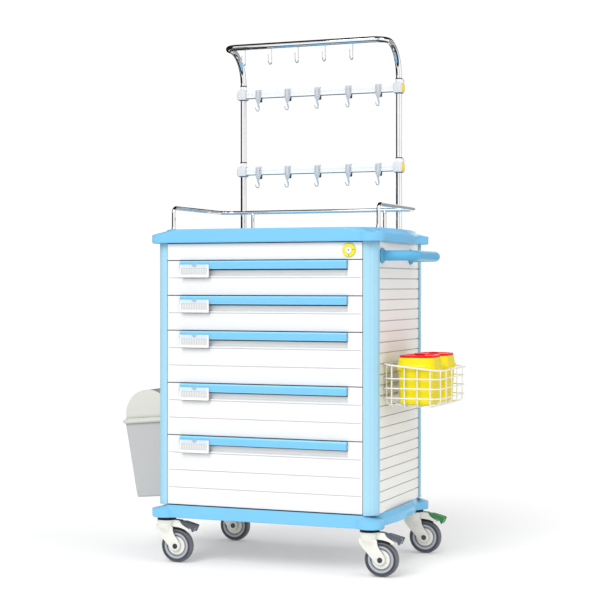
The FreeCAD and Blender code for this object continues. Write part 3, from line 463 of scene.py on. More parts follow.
class Shape:
    """Points in millimetres and faces, each with the number of its finish."""

    def __init__(self):
        self.points = []
        self.faces = []
        self.finish = []

    def patch(self, points, faces, finish=0):
        base = len(self.points)
        self.points += [Vector(p) for p in points]
        self.faces += [[base + i for i in face] for face in faces]
        self.finish += [finish] * len(faces)

    def skin(self, rings, finish=0, ends=(True, True), loop=False):
        """Quads between closed rings of equal length, with a flat face over each end."""
        n = len(rings[0])
        count = len(rings)
        faces = []
        for i in range(count if loop else count - 1):
            j = (i + 1) % count
            for k in range(n):
                m = (k + 1) % n
                faces.append([i * n + k, i * n + m, j * n + m, j * n + k])
        if ends[0] and not loop:
            faces.append(list(range(n))[::-1])
        if ends[1] and not loop:
            faces.append([(count - 1) * n + k for k in range(n)])
        self.patch([p for ring in rings for p in ring], faces, finish)

    def prism(self, outline, plane, a, b, finish=0):
        """A flat outline in plane xz, yz or xy, carried from a to b along the third axis."""
        place = {"xz": lambda u, v, w: (u, w, v), "yz": lambda u, v, w: (w, u, v),
            "xy": lambda u, v, w: (u, v, w)}[plane]
        self.skin([[place(u, v, w) for u, v in outline] for w in (a, b)], finish)

    def block(self, x0, x1, y0, y1, z0, z1, finish=0):
        self.prism([(x0, y0), (x1, y0), (x1, y1), (x0, y1)], "xy", z0, z1, finish)

    def tube(self, path, radius, sides=18, finish=0, loop=False):
        """A round section carried along a path; radius is a number or one for each point."""
        path = [Vector(p) for p in path]
        n = len(path)
        radii = radius if isinstance(radius, (list, tuple)) else [radius] * n
        heads = []
        for i in range(n):
            ahead = path[(i + 1) % n] if loop or i < n - 1 else path[i]
            behind = path[i - 1] if loop or i > 0 else path[i]
            heads.append((ahead - behind).normalized())
        side = heads[0].orthogonal().normalized()
        rings = []
        for i in range(n):
            if i:
                side = (side - heads[i] * side.dot(heads[i])).normalized()
            up = heads[i].cross(side)
            ends = [polar(360.0 * k / sides) for k in range(sides)]
            rings.append([path[i] + (side * c + up * n) * radii[i] for c, n in ends])
        if loop:
            self.closed_skin(rings, finish)
        else:
            self.skin(rings, finish)

    def closed_skin(self, rings, finish):
        """A loop of rings, the last joined to the first by whichever points lie nearest."""
        first, last = rings[0], rings[-1]
        n = len(first)
        offset = min(range(n), key=lambda k: (first[k] - last[0]).length)
        whole = rings + [[first[(k + offset) % n] for k in range(n)]]
        self.skin(whole[:-1], finish, (False, False))
        a = len(self.points) - n
        b = a - (len(rings) - 1) * n
        for k in range(n):
            m = (k + 1) % n
            self.faces.append([a + k, a + m, b + (m + offset) % n, b + (k + offset) % n])
            self.finish.append(finish)

    def lathe(self, profile, centre, axis="z", sides=48, finish=0):
        """A closed profile of (radius, along) pairs turned about an axis through centre."""
        cx, cy, cz = centre
        place = {"z": lambda u, v, t: (cx + u, cy + v, cz + t),
            "y": lambda u, v, t: (cx + u, cy + t, cz + v),
            "x": lambda u, v, t: (cx + t, cy + u, cz + v)}[axis]
        rings = []
        for k in range(sides):
            c, n = polar(360.0 * k / sides)
            rings.append([place(r * c, r * n, t) for r, t in profile])
        self.skin(rings, finish, (False, False), True)

    def plate(self, outline, y0, y1, soft, cuts=0, finish=0):
        """An XZ plate with softened rims; each round of corner cuts curves it more."""
        for _ in range(cuts):
            outline = corners_cut(outline)
        rings = []
        for y, inset in ((y0, soft), (y0 + 0.3 * soft, 0.3 * soft), (y0 + soft, 0.0),
                (y1 - soft, 0.0), (y1 - 0.3 * soft, 0.3 * soft), (y1, soft)):
            rings.append([(x, y, z) for x, z in pulled_in(outline, inset)])
        self.skin(rings, finish)

    def merge(self, other, matrix=None):
        base = len(self.points)
        self.points += [matrix @ p if matrix else p.copy() for p in other.points]
        self.faces += [[base + i for i in face] for face in other.faces]
        self.finish += other.finish


def mesh_of(shape, name, finishes, bevel=0.0, sharp=40.0, shift=None):
    mesh = bpy.data.meshes.new(name)
    base = ORIGIN if shift is None else shift
    mesh.from_pydata([p * MM + base for p in shape.points], [], shape.faces)
    mesh.polygons.foreach_set("material_index", shape.finish)
    for finish in finishes:
        mesh.materials.append(MATERIALS[finish])
    bm = bmesh.new()
    bm.from_mesh(mesh)
    bmesh.ops.remove_doubles(bm, verts=bm.verts, dist=1e-7)
    bmesh.ops.dissolve_degenerate(bm, edges=bm.edges, dist=1e-7)
    bmesh.ops.recalc_face_normals(bm, faces=bm.faces)
    bm.to_mesh(mesh)
    bm.free()
    mesh.polygons.foreach_set("use_smooth", [True] * len(mesh.polygons))
    if not bevel:
        mesh.set_sharp_from_angle(angle=math.radians(sharp))
    return mesh


def piece(mesh, name, body, replaces=(), where=None, bevel=0.0, segments=3, sharp=35.0):
    """An object of the visual model that rides its body and stands in for CAD nodes."""
    obj = added(name, mesh)
    if where is not None:
        obj.location = ORIGIN + Vector(where) * MM
    if bevel:
        mod = obj.modifiers.new("edges", "BEVEL")
        mod.width = bevel * MM
        mod.segments = segments
        mod.limit_method = "ANGLE"
        mod.angle_limit = math.radians(sharp)
        mod.harden_normals = True
        mod.use_clamp_overlap = True
    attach(obj, body)
    if replaces:
        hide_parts(*replaces)
    return obj


def make(shape, name, body, finishes, replaces=(), bevel=0.0, segments=3, sharp=35.0):
    mesh = mesh_of(shape, name, finishes, bevel, sharp)
    return piece(mesh, name, body, replaces, None, bevel, segments, sharp)


def polar(degrees, r=1.0):
    """X and Y of the point at an angle on a circle round the origin."""
    turn = math.radians(degrees)
    return r * math.cos(turn), r * math.sin(turn)


def arc(cx, cy, rx, ry, start, end, steps):
    """Points round a circle or an ellipse from one angle to another, both included."""
    ends = [polar(start + (end - start) * i / steps) for i in range(steps + 1)]
    return [(cx + rx * c, cy + ry * n) for c, n in ends]


def three_point_arc(a, b, c, count):
    """Points from a towards c on the circle through a, b and c, without c itself."""
    (ax, ay), (bx, by), (cx, cy) = a, b, c
    d = 2.0 * (ax * (by - cy) + bx * (cy - ay) + cx * (ay - by))
    if abs(d) < 1e-6:
        return [(ax + (cx - ax) * i / count, ay + (cy - ay) * i / count) for i in range(count)]
    sa, sb, sc = ax * ax + ay * ay, bx * bx + by * by, cx * cx + cy * cy
    ux = (sa * (by - cy) + sb * (cy - ay) + sc * (ay - by)) / d
    uy = (sa * (cx - bx) + sb * (ax - cx) + sc * (bx - ax)) / d
    r = math.hypot(ax - ux, ay - uy)
    start = math.atan2(ay - uy, ax - ux)
    through = math.atan2(by - uy, bx - ux)
    end = math.atan2(cy - uy, cx - ux)
    full = 2.0 * math.pi
    sweep = (end - start) % full
    if (through - start) % full > sweep:
        sweep -= full
    points = []
    for i in range(count):
        turn = start + sweep * i / count
        points.append((ux + r * math.cos(turn), uy + r * math.sin(turn)))
    return points


def rounded_rect(cx, cy, hx, hy, r, per_corner=6):
    """A rounded rectangle as points, from its lower right corner anticlockwise."""
    points = []
    for sx, sy, start in ((1, -1, -90), (1, 1, 0), (-1, 1, 90), (-1, -1, 180)):
        for i in range(per_corner + 1):
            c, n = polar(start + 90.0 * i / per_corner, r)
            points.append((cx + sx * (hx - r) + c, cy + sy * (hy - r) + n))
    return points


def at_height(outline, z):
    return [(x, y, z) for x, y in outline]


def stacked(cx, cy, hx, hy, levels, per_corner):
    """Rings of rounded rectangles up Z, one for each (inset, z, corner radius)."""
    return [at_height(rounded_rect(cx, cy, hx - inset, hy - inset, r, per_corner), z)
        for inset, z, r in levels]


def both_ways(profile):
    """A profile of (radius, along) pairs and its mirror image on the other side of 0."""
    return profile + [(r, -t) for r, t in reversed(profile)]


def rounded_path(points, radii, per_bend=10):
    """A path through points with each inner corner rounded to its radius."""
    points = [Vector(p) for p in points]
    made = [points[0]]
    for i in range(1, len(points) - 1):
        corner = points[i]
        into = (corner - points[i - 1]).normalized()
        out = (points[i + 1] - corner).normalized()
        turn = into.angle(out)
        if turn < 1e-4:
            continue
        r = radii[i - 1]
        cut = r * math.tan(turn / 2.0)
        centre = corner - into * cut + (out - into * into.dot(out)).normalized() * r
        a = corner - into * cut - centre
        axis = into.cross(out).normalized()
        for k in range(per_bend + 1):
            made.append(centre + Matrix.Rotation(turn * k / per_bend, 3, axis) @ a)
    made.append(points[-1])
    return made


def divided(path, step):
    """The same path with extra points so that no stretch is longer than step."""
    made = [path[0]]
    for a, b in zip(path, path[1:]):
        parts = max(1, int((b - a).length / step))
        made += [a.lerp(b, i / parts) for i in range(1, parts + 1)]
    return made


def mirrored(points):
    return [Vector((-p[0], p[1], p[2])) for p in points]


# ---------------------------------------------------------------- worktop and base

def meeting(ax, ay, ra, bx, by, rb):
    """Where a circle round A meets one round B, on the left of the way from A to B."""
    gap = math.hypot(bx - ax, by - ay)
    along = (ra * ra - rb * rb + gap * gap) / (2.0 * gap)
    off = math.sqrt(ra * ra - along * along)
    ux, uy = (bx - ax) / gap, (by - ay) / gap
    return ax + ux * along - uy * off, ay + uy * along + ux * off


def on_circle(cx, cy, r, tx, ty):
    gap = math.hypot(tx - cx, ty - cy)
    return cx + (tx - cx) * r / gap, cy + (ty - cy) * r / gap


def lobed_quarter(front_y):
    rise = LOBE_Y - front_y + LOBE_FILLET
    fx = LOBE_X - math.sqrt((LOBE_R + LOBE_FILLET) ** 2 - rise ** 2)
    fy = front_y - LOBE_FILLET
    t1 = on_circle(LOBE_X, LOBE_Y, LOBE_R, fx, fy)
    m1 = on_circle(fx, fy, LOBE_FILLET, (fx + t1[0]) / 2.0, (front_y + t1[1]) / 2.0)
    bx, by = SIDE_BOW_X - SIDE_BOW_R, MID_Y
    gx, gy = meeting(bx, by, SIDE_BOW_R + LOBE_FILLET, LOBE_X, LOBE_Y, LOBE_R + LOBE_FILLET)
    t2 = on_circle(LOBE_X, LOBE_Y, LOBE_R, gx, gy)
    t3 = on_circle(bx, by, SIDE_BOW_R, gx, gy)
    m2 = on_circle(gx, gy, LOBE_FILLET, (t2[0] + t3[0]) / 2.0, (t2[1] + t3[1]) / 2.0)
    nose = on_circle(LOBE_X, LOBE_Y, LOBE_R, LOBE_X + 1.0, LOBE_Y - 1.0)
    bow = on_circle(bx, by, SIDE_BOW_R, (t3[0] + SIDE_BOW_X) / 2.0, (t3[1] + by) / 2.0)
    return [(fx, front_y), m1, t1, nose, t2, m2, t3, bow, (SIDE_BOW_X, by)]


def plain_quarter(front_y, corner, inset):
    x, by = SIDE_BOW_X - inset, MID_Y
    bx = x - SIDE_BOW_R
    cy = front_y + corner
    cx = bx + math.sqrt((SIDE_BOW_R - corner) ** 2 - (by - cy) ** 2)
    end = math.atan2(cy - by, cx - bx)
    joints = [(cx, front_y)]
    for i in range(1, 7):
        turn = -math.pi / 2.0 + (end + math.pi / 2.0) * i / 6.0
        joints.append((cx + corner * math.cos(turn), cy + corner * math.sin(turn)))
    joints.append((bx + SIDE_BOW_R * math.cos(end / 2.0), by + SIDE_BOW_R * math.sin(end / 2.0)))
    joints.append((x, by))
    return joints


def full_outline(quarter):
    """The closed outline mirrored from one quarter; any quarter gives as many points."""
    front_y = quarter[0][1]
    half = [(quarter[0][0] * i / 14.0, front_y) for i in range(14)]
    for i, count in ((0, 8), (2, 14), (4, 8), (6, 16)):
        half += three_point_arc(quarter[i], quarter[i + 1], quarter[i + 2], count)
    half.append(quarter[8])
    back = [(x, DEPTH - y) for x, y in reversed(half)]
    right = half[:-1] + back[:-1]
    left = [(-x, y) for x, y in reversed(half + back[1:])]
    return right + left[:-1]


def pulled_in(outline, distance):
    """The outline moved inwards by a distance."""
    n = len(outline)
    made = []
    for i in range(n):
        ax, ay = outline[i - 1]
        bx, by = outline[(i + 1) % n]
        tx, ty = bx - ax, by - ay
        gap = math.hypot(tx, ty)
        made.append((outline[i][0] - ty / gap * distance, outline[i][1] + tx / gap * distance))
    return made


def way_round(outline):
    """The share of the way round at which each point of a closed outline lies."""
    n = len(outline)
    steps = [math.dist(outline[i - 1], outline[i]) for i in range(1, n)]
    whole = sum(steps) + math.dist(outline[-1], outline[0])
    shares = [0.0]
    for step in steps:
        shares.append(shares[-1] + step / whole)
    return shares


def towards(outline, target):
    """The target outline with one point for each outline point, both starting at front centre."""
    front = (0.0, min(p[1] for p in target))
    ordered = sorted(target, key=lambda p: math.atan2(p[0], MID_Y - p[1]) % math.tau)
    ordered = [front] + [p for p in ordered if math.dist(p, front) > 0.01]
    shares = way_round(ordered) + [1.0]
    ordered.append(front)
    made, k = [], 1
    for share in way_round(outline):
        while shares[k] < share:
            k += 1
        part = (share - shares[k - 1]) / (shares[k] - shares[k - 1])
        (ax, ay), (bx, by) = ordered[k - 1], ordered[k]
        made.append((ax + (bx - ax) * part, ay + (by - ay) * part))
    return made


def slab_rings(low, top, bottom, shoulder, high, round_low, round_top):
    """Rings from the underside up the wall and the sloping shoulder to the top edge."""
    rings = []

    def ring(outline, inset, z):
        rings.append(at_height(pulled_in(outline, inset), z))

    ring(low, round_low + 5.0, bottom)
    for i in range(6):
        c, n = polar(18.0 * i)
        ring(low, round_low * (1.0 - n), bottom + round_low * (1.0 - c))
    ring(low, 0.0, shoulder - 6.0)
    ring(low, 0.0, shoulder - 1.2)
    for share in (0.0, 0.03, 0.08, 0.3, 0.5, 0.7, 0.88):
        mixed = [(ax + (bx - ax) * share, ay + (by - ay) * share)
            for (ax, ay), (bx, by) in zip(low, top)]
        ring(mixed, 0.0 if share else 0.02, shoulder + (high - round_top - shoulder) * share)
    for i in range(1, 6):
        c, n = polar(18.0 * i)
        ring(top, round_top * (1.0 - c), high - round_top * (1.0 - n))
    return rings


def base_tray():
    low = full_outline(lobed_quarter(BASE_FRONT_Y))
    top = full_outline(plain_quarter(BASE_FRONT_Y, POST_ROUND + 3.0, TOP_INSET))
    rings = slab_rings(low, top, BASE_BOTTOM, BASE_SHOULDER, BASE_TOP, 3.0, 1.6)
    hollow = towards(low, rounded_rect(0, MID_Y, 270, 190, 30))
    s = Shape()
    s.skin(rings + [at_height(pulled_in(top, 9.0), BASE_TOP)], 0, (False, True))
    under = [rings[0]]
    for inset, z in ((-2.5, BASE_BOTTOM), (0.0, 138.5), (0.0, 151.0), (0.8, 152.5), (6.0, 153.5)):
        under.append(at_height(pulled_in(hollow, inset), z))
    s.skin(under, 1, (False, True))
    for y in (MID_Y - 110, MID_Y, MID_Y + 110):
        s.block(-262, 262, y - 2, y + 2, 141, 154, 1)
    for x in (-130, 0, 130):
        s.block(x - 2, x + 2, MID_Y - 182, MID_Y + 182, 140.6, 154.2, 1)
    make(s, "base_tray_moulding", "cart", ["sky", "under"], ["base_tray"])


def worktop():
    low = full_outline(lobed_quarter(DECK_FRONT_Y))
    top = full_outline(plain_quarter(DECK_FRONT_Y, 95.0, TOP_INSET))
    rings = slab_rings(low, top, DECK_BOTTOM, DECK_SHOULDER, DECK_TOP, 4.0, 2.6)
    mouth = towards(low, rounded_rect(0, 229.0, 314.0, 212.0, 60, 10))
    drop = DECK_TOP - DECK_FLOOR
    for inset, z in ((-3.5, DECK_TOP), (-1.4, DECK_TOP - 0.5), (0.0, DECK_TOP - 3.0),
            (1.0, DECK_TOP - drop + 5.0), (2.5, DECK_TOP - drop + 1.8), (5.5, DECK_FLOOR + 0.3),
            (9.0, DECK_FLOOR)):
        rings.append(at_height(pulled_in(mouth, inset), z))
    s = Shape()
    s.skin(rings)
    make(s, "worktop_moulding", "cart", ["sky"], ["worktop"])


# ---------------------------------------------------------------- posts and panels

def post_outline():
    """One post's section: the lip at the drawers, the corner with its two shallow flutes, and
    a narrow groove before the flat side."""
    points = [(POST_INNER + 0.6, 3.4), (POST_INNER + 0.15, 1.2), (POST_INNER + 0.9, 0.25),
        (POST_INNER + 1.8, 0.0), (POST_INNER + 2.6, 0.0)]
    for angle in range(3, 91, 3):
        r = POST_ROUND
        for middle, deep in POST_FLUTES:
            r -= deep * math.exp(-((angle - middle) / 4.0) ** 2)
        c, n = polar(angle - 90.0, r)
        points.append((POST_OUTER - POST_ROUND + c, POST_ROUND + n))
    points += [(POST_OUTER - 0.15, POST_ROUND + 1.6), (POST_OUTER - 0.8, POST_ROUND + 3.0),
        (POST_OUTER - 0.15, POST_ROUND + 4.4), (POST_OUTER, POST_ROUND + 5.2),
        (POST_OUTER, POST_SIDE - 1.2), (POST_OUTER - 0.4, POST_SIDE - 0.35),
        (POST_OUTER - 1.2, POST_SIDE), (POST_INNER, POST_SIDE)]
    return points


def corner_posts():
    s = Shape()
    quarter = post_outline()
    for sx in (1, -1):
        for near in (True, False):
            outline = [(sx * x, y if near else DEPTH - y) for x, y in quarter]
            heights = (BASE_TOP, BASE_TOP + 0.6, DECK_BOTTOM - 0.6, DECK_BOTTOM)
            s.skin([at_height(outline, z) for z in heights])
    make(s, "corner_post_profiles", "cart", ["profile"], ["corner_posts"])


def groove_heights():
    return [GROOVE_TOP - k * GROOVE_PITCH for k in range(GROOVE_COUNT - 1, -1, -1)]


def sheet_profile(deep, wide):
    """Depth and height pairs up a slatted sheet, deep grooves of one width between the slats."""
    points = [(0.0, BASE_TOP)]
    for z in groove_heights():
        points += [(0.0, z - wide), (-0.3 * deep, z - 0.7 * wide), (-deep, z - 0.1 * wide),
            (-deep, z + 0.5 * wide), (-0.5 * deep, z + 0.8 * wide), (0.0, z + wide)]
    points.append((0.0, DECK_BOTTOM))
    return points


def wall_panels():
    s = Shape()
    shallow = sheet_profile(2.6, 1.7)
    notch = sheet_profile(3.3, 2.4)
    far = DEPTH - POST_SIDE
    for sign in (1, -1):
        rings = []
        for y, profile in ((POST_SIDE, shallow), (far - 5.0, shallow), (far - 4.4, notch),
                (far, notch)):
            ring = [(sign * (PANEL_X + d), y, z) for d, z in profile]
            ring.append((sign * (PANEL_X - PANEL_THICK), y, DECK_BOTTOM))
            ring.append((sign * (PANEL_X - PANEL_THICK), y, BASE_TOP))
            rings.append(ring)
        s.skin(rings)
        # Painted shade: a dark insert in the end notch of each groove stands for the shade inside
        # the notch.
        for z in groove_heights():
            a, b = sorted((sign * (PANEL_X - 3.2), sign * (PANEL_X - 0.9)))
            s.block(a, b, far - 4.2, far - 0.1, z - 1.7, z + 1.9, 1)
    rings = []
    for x, profile in ((-POST_INNER, notch), (-POST_INNER + 4.4, notch),
            (-POST_INNER + 5, shallow), (POST_INNER - 5, shallow), (POST_INNER - 4.4, notch),
            (POST_INNER, notch)):
        ring = [(x, BACK_Y + PANEL_THICK + d, z) for d, z in profile]
        ring += [(x, BACK_Y, DECK_BOTTOM), (x, BACK_Y, BASE_TOP)]
        rings.append(ring)
    s.skin(rings)
    make(s, "slatted_wall_panels", "cart", ["panel", "painted_shade_line"], ["wall_panels"],
        sharp=28.0)


def header_panel():
    low, high = DRAWER_TOP + FRONT_GAP, DECK_BOTTOM
    section = [(FRONT_THICK, low), (1.0, low), (0.3, low + 0.3), (0.0, low + 1.0),
        (0.0, high - 3.2), (0.3, high - 2.5), (1.0, high - 2.2), (8.0, high - 2.2), (8.0, high),
        (FRONT_THICK, high)]
    s = Shape()
    s.prism(section, "yz", -FRONT_HALF, FRONT_HALF)
    # Painted shade: a dark strip at the back of the top groove stands for the shadow line under
    # the worktop's edge.
    s.block(-FRONT_HALF, FRONT_HALF, 1.6, 9.0, high - 2.3, high, 1)
    make(s, "header_board", "cart", ["white", "painted_shade_line"], ["header_panel"])


# ---------------------------------------------------------------- drawers

def drawer_levels():
    levels = []
    top = DRAWER_TOP
    for slats in DRAWER_SLATS:
        levels.append((top - slats * SLAT, top))
        top -= slats * SLAT
    return levels


def front_profile(z0, z1, grooved, recessed):
    """Depth and height pairs up a drawer front; every call gives the same number of points."""
    low, high = z0 + FRONT_GAP, z1 - FRONT_GAP
    points = [(FRONT_THICK, low), (1.0, low), (0.3, low + 0.3), (0.0, low + 1.0)]
    slats = int(round((z1 - z0) / SLAT))
    deep = 1.7 if grooved else 0.0
    for k in range(1, slats):
        z = z0 + k * SLAT
        points += [(0.0, z - 1.5), (0.25 * deep, z - 0.9), (deep, z - 0.2), (deep, z + 0.6),
            (0.35 * deep, z + 1.0), (0.0, z + 1.5)]
    floor = z1 - FINGER_TALL
    deep = FINGER_DEEP if recessed else 0.0
    for share, z in ((0.0, floor - 0.8), (0.08, floor - 0.1), (0.45, floor + 1.0),
            (0.8, floor + 3.0), (0.97, floor + 6.5), (1.0, floor + 10.0), (1.0, high - 4.4),
            (0.96, high - 3.4), (0.0, high - 3.0)):
        points.append((deep * share, z))
    points += [(0.0, high - 1.0), (0.3, high - 0.3), (1.0, high), (FRONT_THICK, high)]
    return points


def drawer_front(n, z0, z1):
    s = Shape()
    plain = front_profile(z0, z1, False, False)
    grooved = front_profile(z0, z1, True, False)
    open_lip = front_profile(z0, z1, True, True)
    half = FRONT_HALF
    columns = [(-half, plain, 1.0), (-half + 0.3, plain, 0.3), (-half + 1.0, plain, 0.0),
        (-half + 4.6, plain, 0.0), (-half + 5.6, grooved, 0.0), (-GRIP_HALF, grooved, 0.0),
        (-GRIP_HALF + 0.4, open_lip, 0.0)]
    columns += [(-x, profile, back) for x, profile, back in reversed(columns)]
    rings = []
    for x, profile, back in columns:
        rings.append([(x, max(y, back), z) for y, z in profile])
    s.skin(rings)
    # Painted shade: a dark strip at the back of the finger recess, just under the grip, stands for
    # the shade the grip casts there.
    painted_shade_line = z1 - GRIP_TALL
    s.block(-GRIP_HALF + 0.6, GRIP_HALF - 0.6, FINGER_DEEP - 1.4, FINGER_DEEP + 0.2,
        painted_shade_line - 3.4, painted_shade_line + 2.0, 1)
    body = "drawer_%d" % n
    make(s, "drawer_%d_slatted_front" % n, body, ["white", "painted_shade_line"],
        [body + "_front"], sharp=30.0)


def drawer_grip(n, z1):
    high, low, out = z1 - FRONT_GAP, z1 - GRIP_TALL, -GRIP_OUT
    outline = [(-0.02, high), (out + 4.6, high), (out + 3.4, high - 0.25), (out + 2.3, high - 0.9),
        (out + 0.5, high - 4.2), (out + 0.1, high - 4.9), (out, high - 5.7), (out, low + 5.8),
        (out + 0.12, low + 5.0), (out + 0.5, low + 4.3), (out + 2.0, low + 1.0),
        (out + 2.7, low + 0.3), (out + 3.6, low), (out + 4.6, low), (out + 5.0, low + 0.5),
        (out + 5.0, low + 2.2), (out + 3.6, low + 3.2), (out + 3.0, low + 4.2),
        (out + 3.0, high - 6.5), (out + 3.6, high - 4.6), (out + 5.2, high - 3.2),
        (-0.02, high - 3.0)]
    s = Shape()
    rings = []
    for x, shrink in ((-GRIP_HALF, 0.86), (-GRIP_HALF + 0.3, 0.95), (-GRIP_HALF + 1.0, 1.0)):
        rings.append([(x, y * shrink, z) for y, z in outline])
    rings += [[(-x, y, z) for x, y, z in ring] for ring in reversed(rings)]
    s.skin(rings)
    # Painted highlight: paler bands on the top and bottom bevels stand for the light they catch.
    for (ya, za), (yb, zb) in (((out + 2.3, high - 0.9), (out + 0.5, high - 4.2)),
            ((out + 0.5, low + 4.3), (out + 2.0, low + 1.0))):
        band = [(ya - 0.12, za), (yb - 0.12, zb), (yb + 0.4, zb), (ya + 0.4, za)]
        s.prism(band, "yz", -GRIP_HALF + 1.2, GRIP_HALF - 1.2, 1)
    body = "drawer_%d" % n
    make(s, "drawer_%d_grip_strip" % n, body, ["sky", "grip_bevel_highlight"],
        [body + "_grip"], sharp=30.0)


def label_mesh():
    """The label holder about its lower left corner: frame, ribbed card, tinted band, a notch
    backed by painted shade, and a painted shadow strip along the bottom edge.
    """
    w, h, r = LABEL_WIDE, LABEL_TALL, 2.4
    notch_x, notch_r, notch_deep = w / 2.0, 8.0, 8.2
    corners = rounded_rect(w / 2.0, h / 2.0, w / 2.0, h / 2.0, r, 5)
    right, left = corners[:12], corners[12:]
    notch = arc(notch_x, h, notch_r, -notch_deep, 0.0, 180.0, 14)
    s = Shape()
    s.prism(right + notch + left, "xz", 1.4, 3.0)
    # Painted shadow: a dark grey strip along the bottom edge stands for the shadow under the
    # holder.
    s.block(1.8, w - 0.4, 1.6, 7.0, -0.9, 1.0, 4)
    low, high = 9.5, h - 12.0
    for x0, x1, z0, z1 in ((0.6, 4.6, 0.6, h - 0.6), (w - 6.5, w - 0.6, 0.6, h - 0.6),
            (4.5, w - 6.4, 0.6, low)):
        s.block(x0, x1, 0.0, 1.5, z0, z1)
    s.block(4.5, w - 6.4, 1.0, 1.5, low, high, 1)
    count = 15
    for i in range(count):
        x = 4.6 + (w - 11.1) * (i + 0.5) / count
        s.block(x - 1.5, x + 1.5, 0.5, 1.1, low + 0.2, high - 0.2, 5)
    band = arc(notch_x, h - 0.6, notch_r + 1.6, -notch_deep - 1.4, 0.0, 180.0, 14)
    band = [(4.5, high), (w - 6.4, high), (w - 6.4, h - 0.6)] + band + [(4.5, h - 0.6)]
    s.prism(band, "xz", 0.35, 1.5, 2)
    # Painted shade: a blue-grey sheet behind the notch stands for the shaded grip seen through it.
    s.prism(notch, "xz", 2.6, 3.0, 3)
    finishes = ["white", "label_card", "label_band", "label_notch_painted_shade", "label_painted_shadow", "label_rib"]
    return mesh_of(s, "label_holder", finishes, 0.3, shift=Vector())


def drawer_tray(n, z0, z1):
    """An open box with rounded corners, a rolled rim, side flanges and divider slots."""
    low, high = z0 + TRAY_LIFT, z1 - TRAY_TOP_GAP
    cy, hy = (FRONT_THICK + TRAY_BACK) / 2.0, (TRAY_BACK - FRONT_THICK) / 2.0
    hx, w = TRAY_HALF, TRAY_WALL
    levels = ((3.0, low, 7.0), (0.9, low + 0.9, 9.0), (0.0, low + 3.0, 10.0),
        (0.0, high - 0.8, 10.0), (0.6, high - 0.1, 10.0), (w - 0.6, high - 0.1, 8.0),
        (w, high - 0.8, 7.0), (w, low + w + 3.0, 7.0), (w + 0.9, low + w + 0.9, 6.4),
        (w + 3.0, low + w, 5.0), (60.0, low + w, 2.0))
    s = Shape()
    s.skin(stacked(0, cy, hx, hy, levels, 5))
    flange = z0 + FLANGE_LIFT
    for x0, x1 in ((-FLANGE_HALF, -TRAY_HALF + 0.6), (TRAY_HALF - 0.6, FLANGE_HALF)):
        s.block(x0, x1, FRONT_THICK + 0.2, TRAY_BACK - 0.2, flange, flange + FLANGE_THICK)
    for i in range(1, 8):
        y = FRONT_THICK + (TRAY_BACK - FRONT_THICK) * i / 8.0
        for sign in (1, -1):
            for off in (-3.0, 3.0):
                s.block(sign * (hx - w - 1.8), sign * (hx - w + 0.5), y + off - 0.8, y + off + 0.8,
                    low + w + 2.0, high - 4.0)
    body = "drawer_%d" % n
    make(s, "drawer_%d_tray_box" % n, body, ["tray"], [body + "_tray"], 0.35, 2)


def drawers():
    label = label_mesh()
    for n, (z0, z1) in enumerate(drawer_levels(), 1):
        drawer_front(n, z0, z1)
        drawer_grip(n, z1)
        drawer_tray(n, z0, z1)
        where = (LABEL_LEFT, -GRIP_OUT - 3.02, z1 - LABEL_DROP - LABEL_TALL)
        piece(label, "drawer_%d_label_holder" % n, "drawer_%d" % n, where=where,
            bevel=0.35, segments=2)


# ---------------------------------------------------------------- lock and handle

def lock():
    at = (LOCK_X, 0, LOCK_Z)
    s = Shape()
    r, hole = LOCK_RING_R, LOCK_KNOB_R + 0.1
    s.lathe([(hole, -0.2), (hole, -4.3), (hole + 0.25, -4.8), (hole + 0.9, -5.0), (r - 2.6, -4.7),
        (r - 1.2, -4.2), (r - 0.35, -3.2), (r, -2.0), (r, -0.2)], at, "y", 72)
    for turn in (4.0, -90.0):
        x, z = polar(turn, 14.6)
        mark = Shape()
        mark.block(-2.3, 2.3, -5.15, -4.5, -1.1, 1.1, 1)
        matrix = Matrix.Translation((LOCK_X + x, 0, LOCK_Z + z))
        s.merge(mark, matrix @ Matrix.Rotation(math.radians(-turn), 4, "Y"))
    make(s, "lock_dial_ring", "cart", ["lock_yellow", "mark"], ["lock_ring"])
    s = Shape()
    r = LOCK_KNOB_R
    s.lathe([(AXIS, -0.06), (r, -0.06), (r, -5.6), (r - 0.3, -6.2), (r - 1.1, -6.5), (3.2, -6.5),
        (2.9, -6.4), (2.7, -5.9), (AXIS, -5.8)], at, "y", 64)
    s.lathe([(AXIS, -5.7), (1.8, -5.7), (1.8, -6.25), (AXIS, -6.3)], at, "y", 32, 1)
    s.block(LOCK_X - 0.35, LOCK_X + 0.35, -6.36, -6.2, LOCK_Z - 1.7, LOCK_Z + 1.7, 2)
    make(s, "lock_barrel_knob", "lock", ["lock_barrel", "mark", "black"],
        ["lock_knob"])


def push_handle():
    z = HANDLE_Z
    corners = [(PANEL_X, HANDLE_FRONT, z), (HANDLE_REACH, HANDLE_FRONT, z),
        (HANDLE_REACH, HANDLE_BACK, z), (PANEL_X, HANDLE_BACK, z)]
    path = rounded_path(corners, [HANDLE_BEND, HANDLE_BEND], 18)
    s = Shape()
    s.tube(divided(path, 14.0), HANDLE_R, 36)
    for y in (HANDLE_FRONT, HANDLE_BACK):
        r = HANDLE_FLANGE_R
        s.lathe([(AXIS, 0.0), (r - 0.8, 0.0), (r, 0.8), (r, 2.6), (r - 0.9, 4.4), (r - 3.0, 6.0),
            (HANDLE_R + 2.4, 6.8), (HANDLE_R + 1.0, 8.0), (HANDLE_R + 0.3, 11.0),
            (HANDLE_R - 2.0, 11.4), (AXIS, 11.4)], (PANEL_X, y, z), "x", 56)
    make(s, "push_handle_bar", "cart", ["handle"], ["push_handle"])


# ---------------------------------------------------------------- chrome tubes

def foot_profile(r_tube, r_foot, tall):
    return [(r_tube - 0.5, 0.0), (r_foot - 0.4, 0.0), (r_foot, 0.5), (r_foot, 1.8),
        (r_foot - 0.5, 2.6), (r_foot - 1.6, 3.1), (r_tube + 1.4, tall - 1.6),
        (r_tube + 0.9, tall - 0.4), (r_tube - 0.5, tall)]


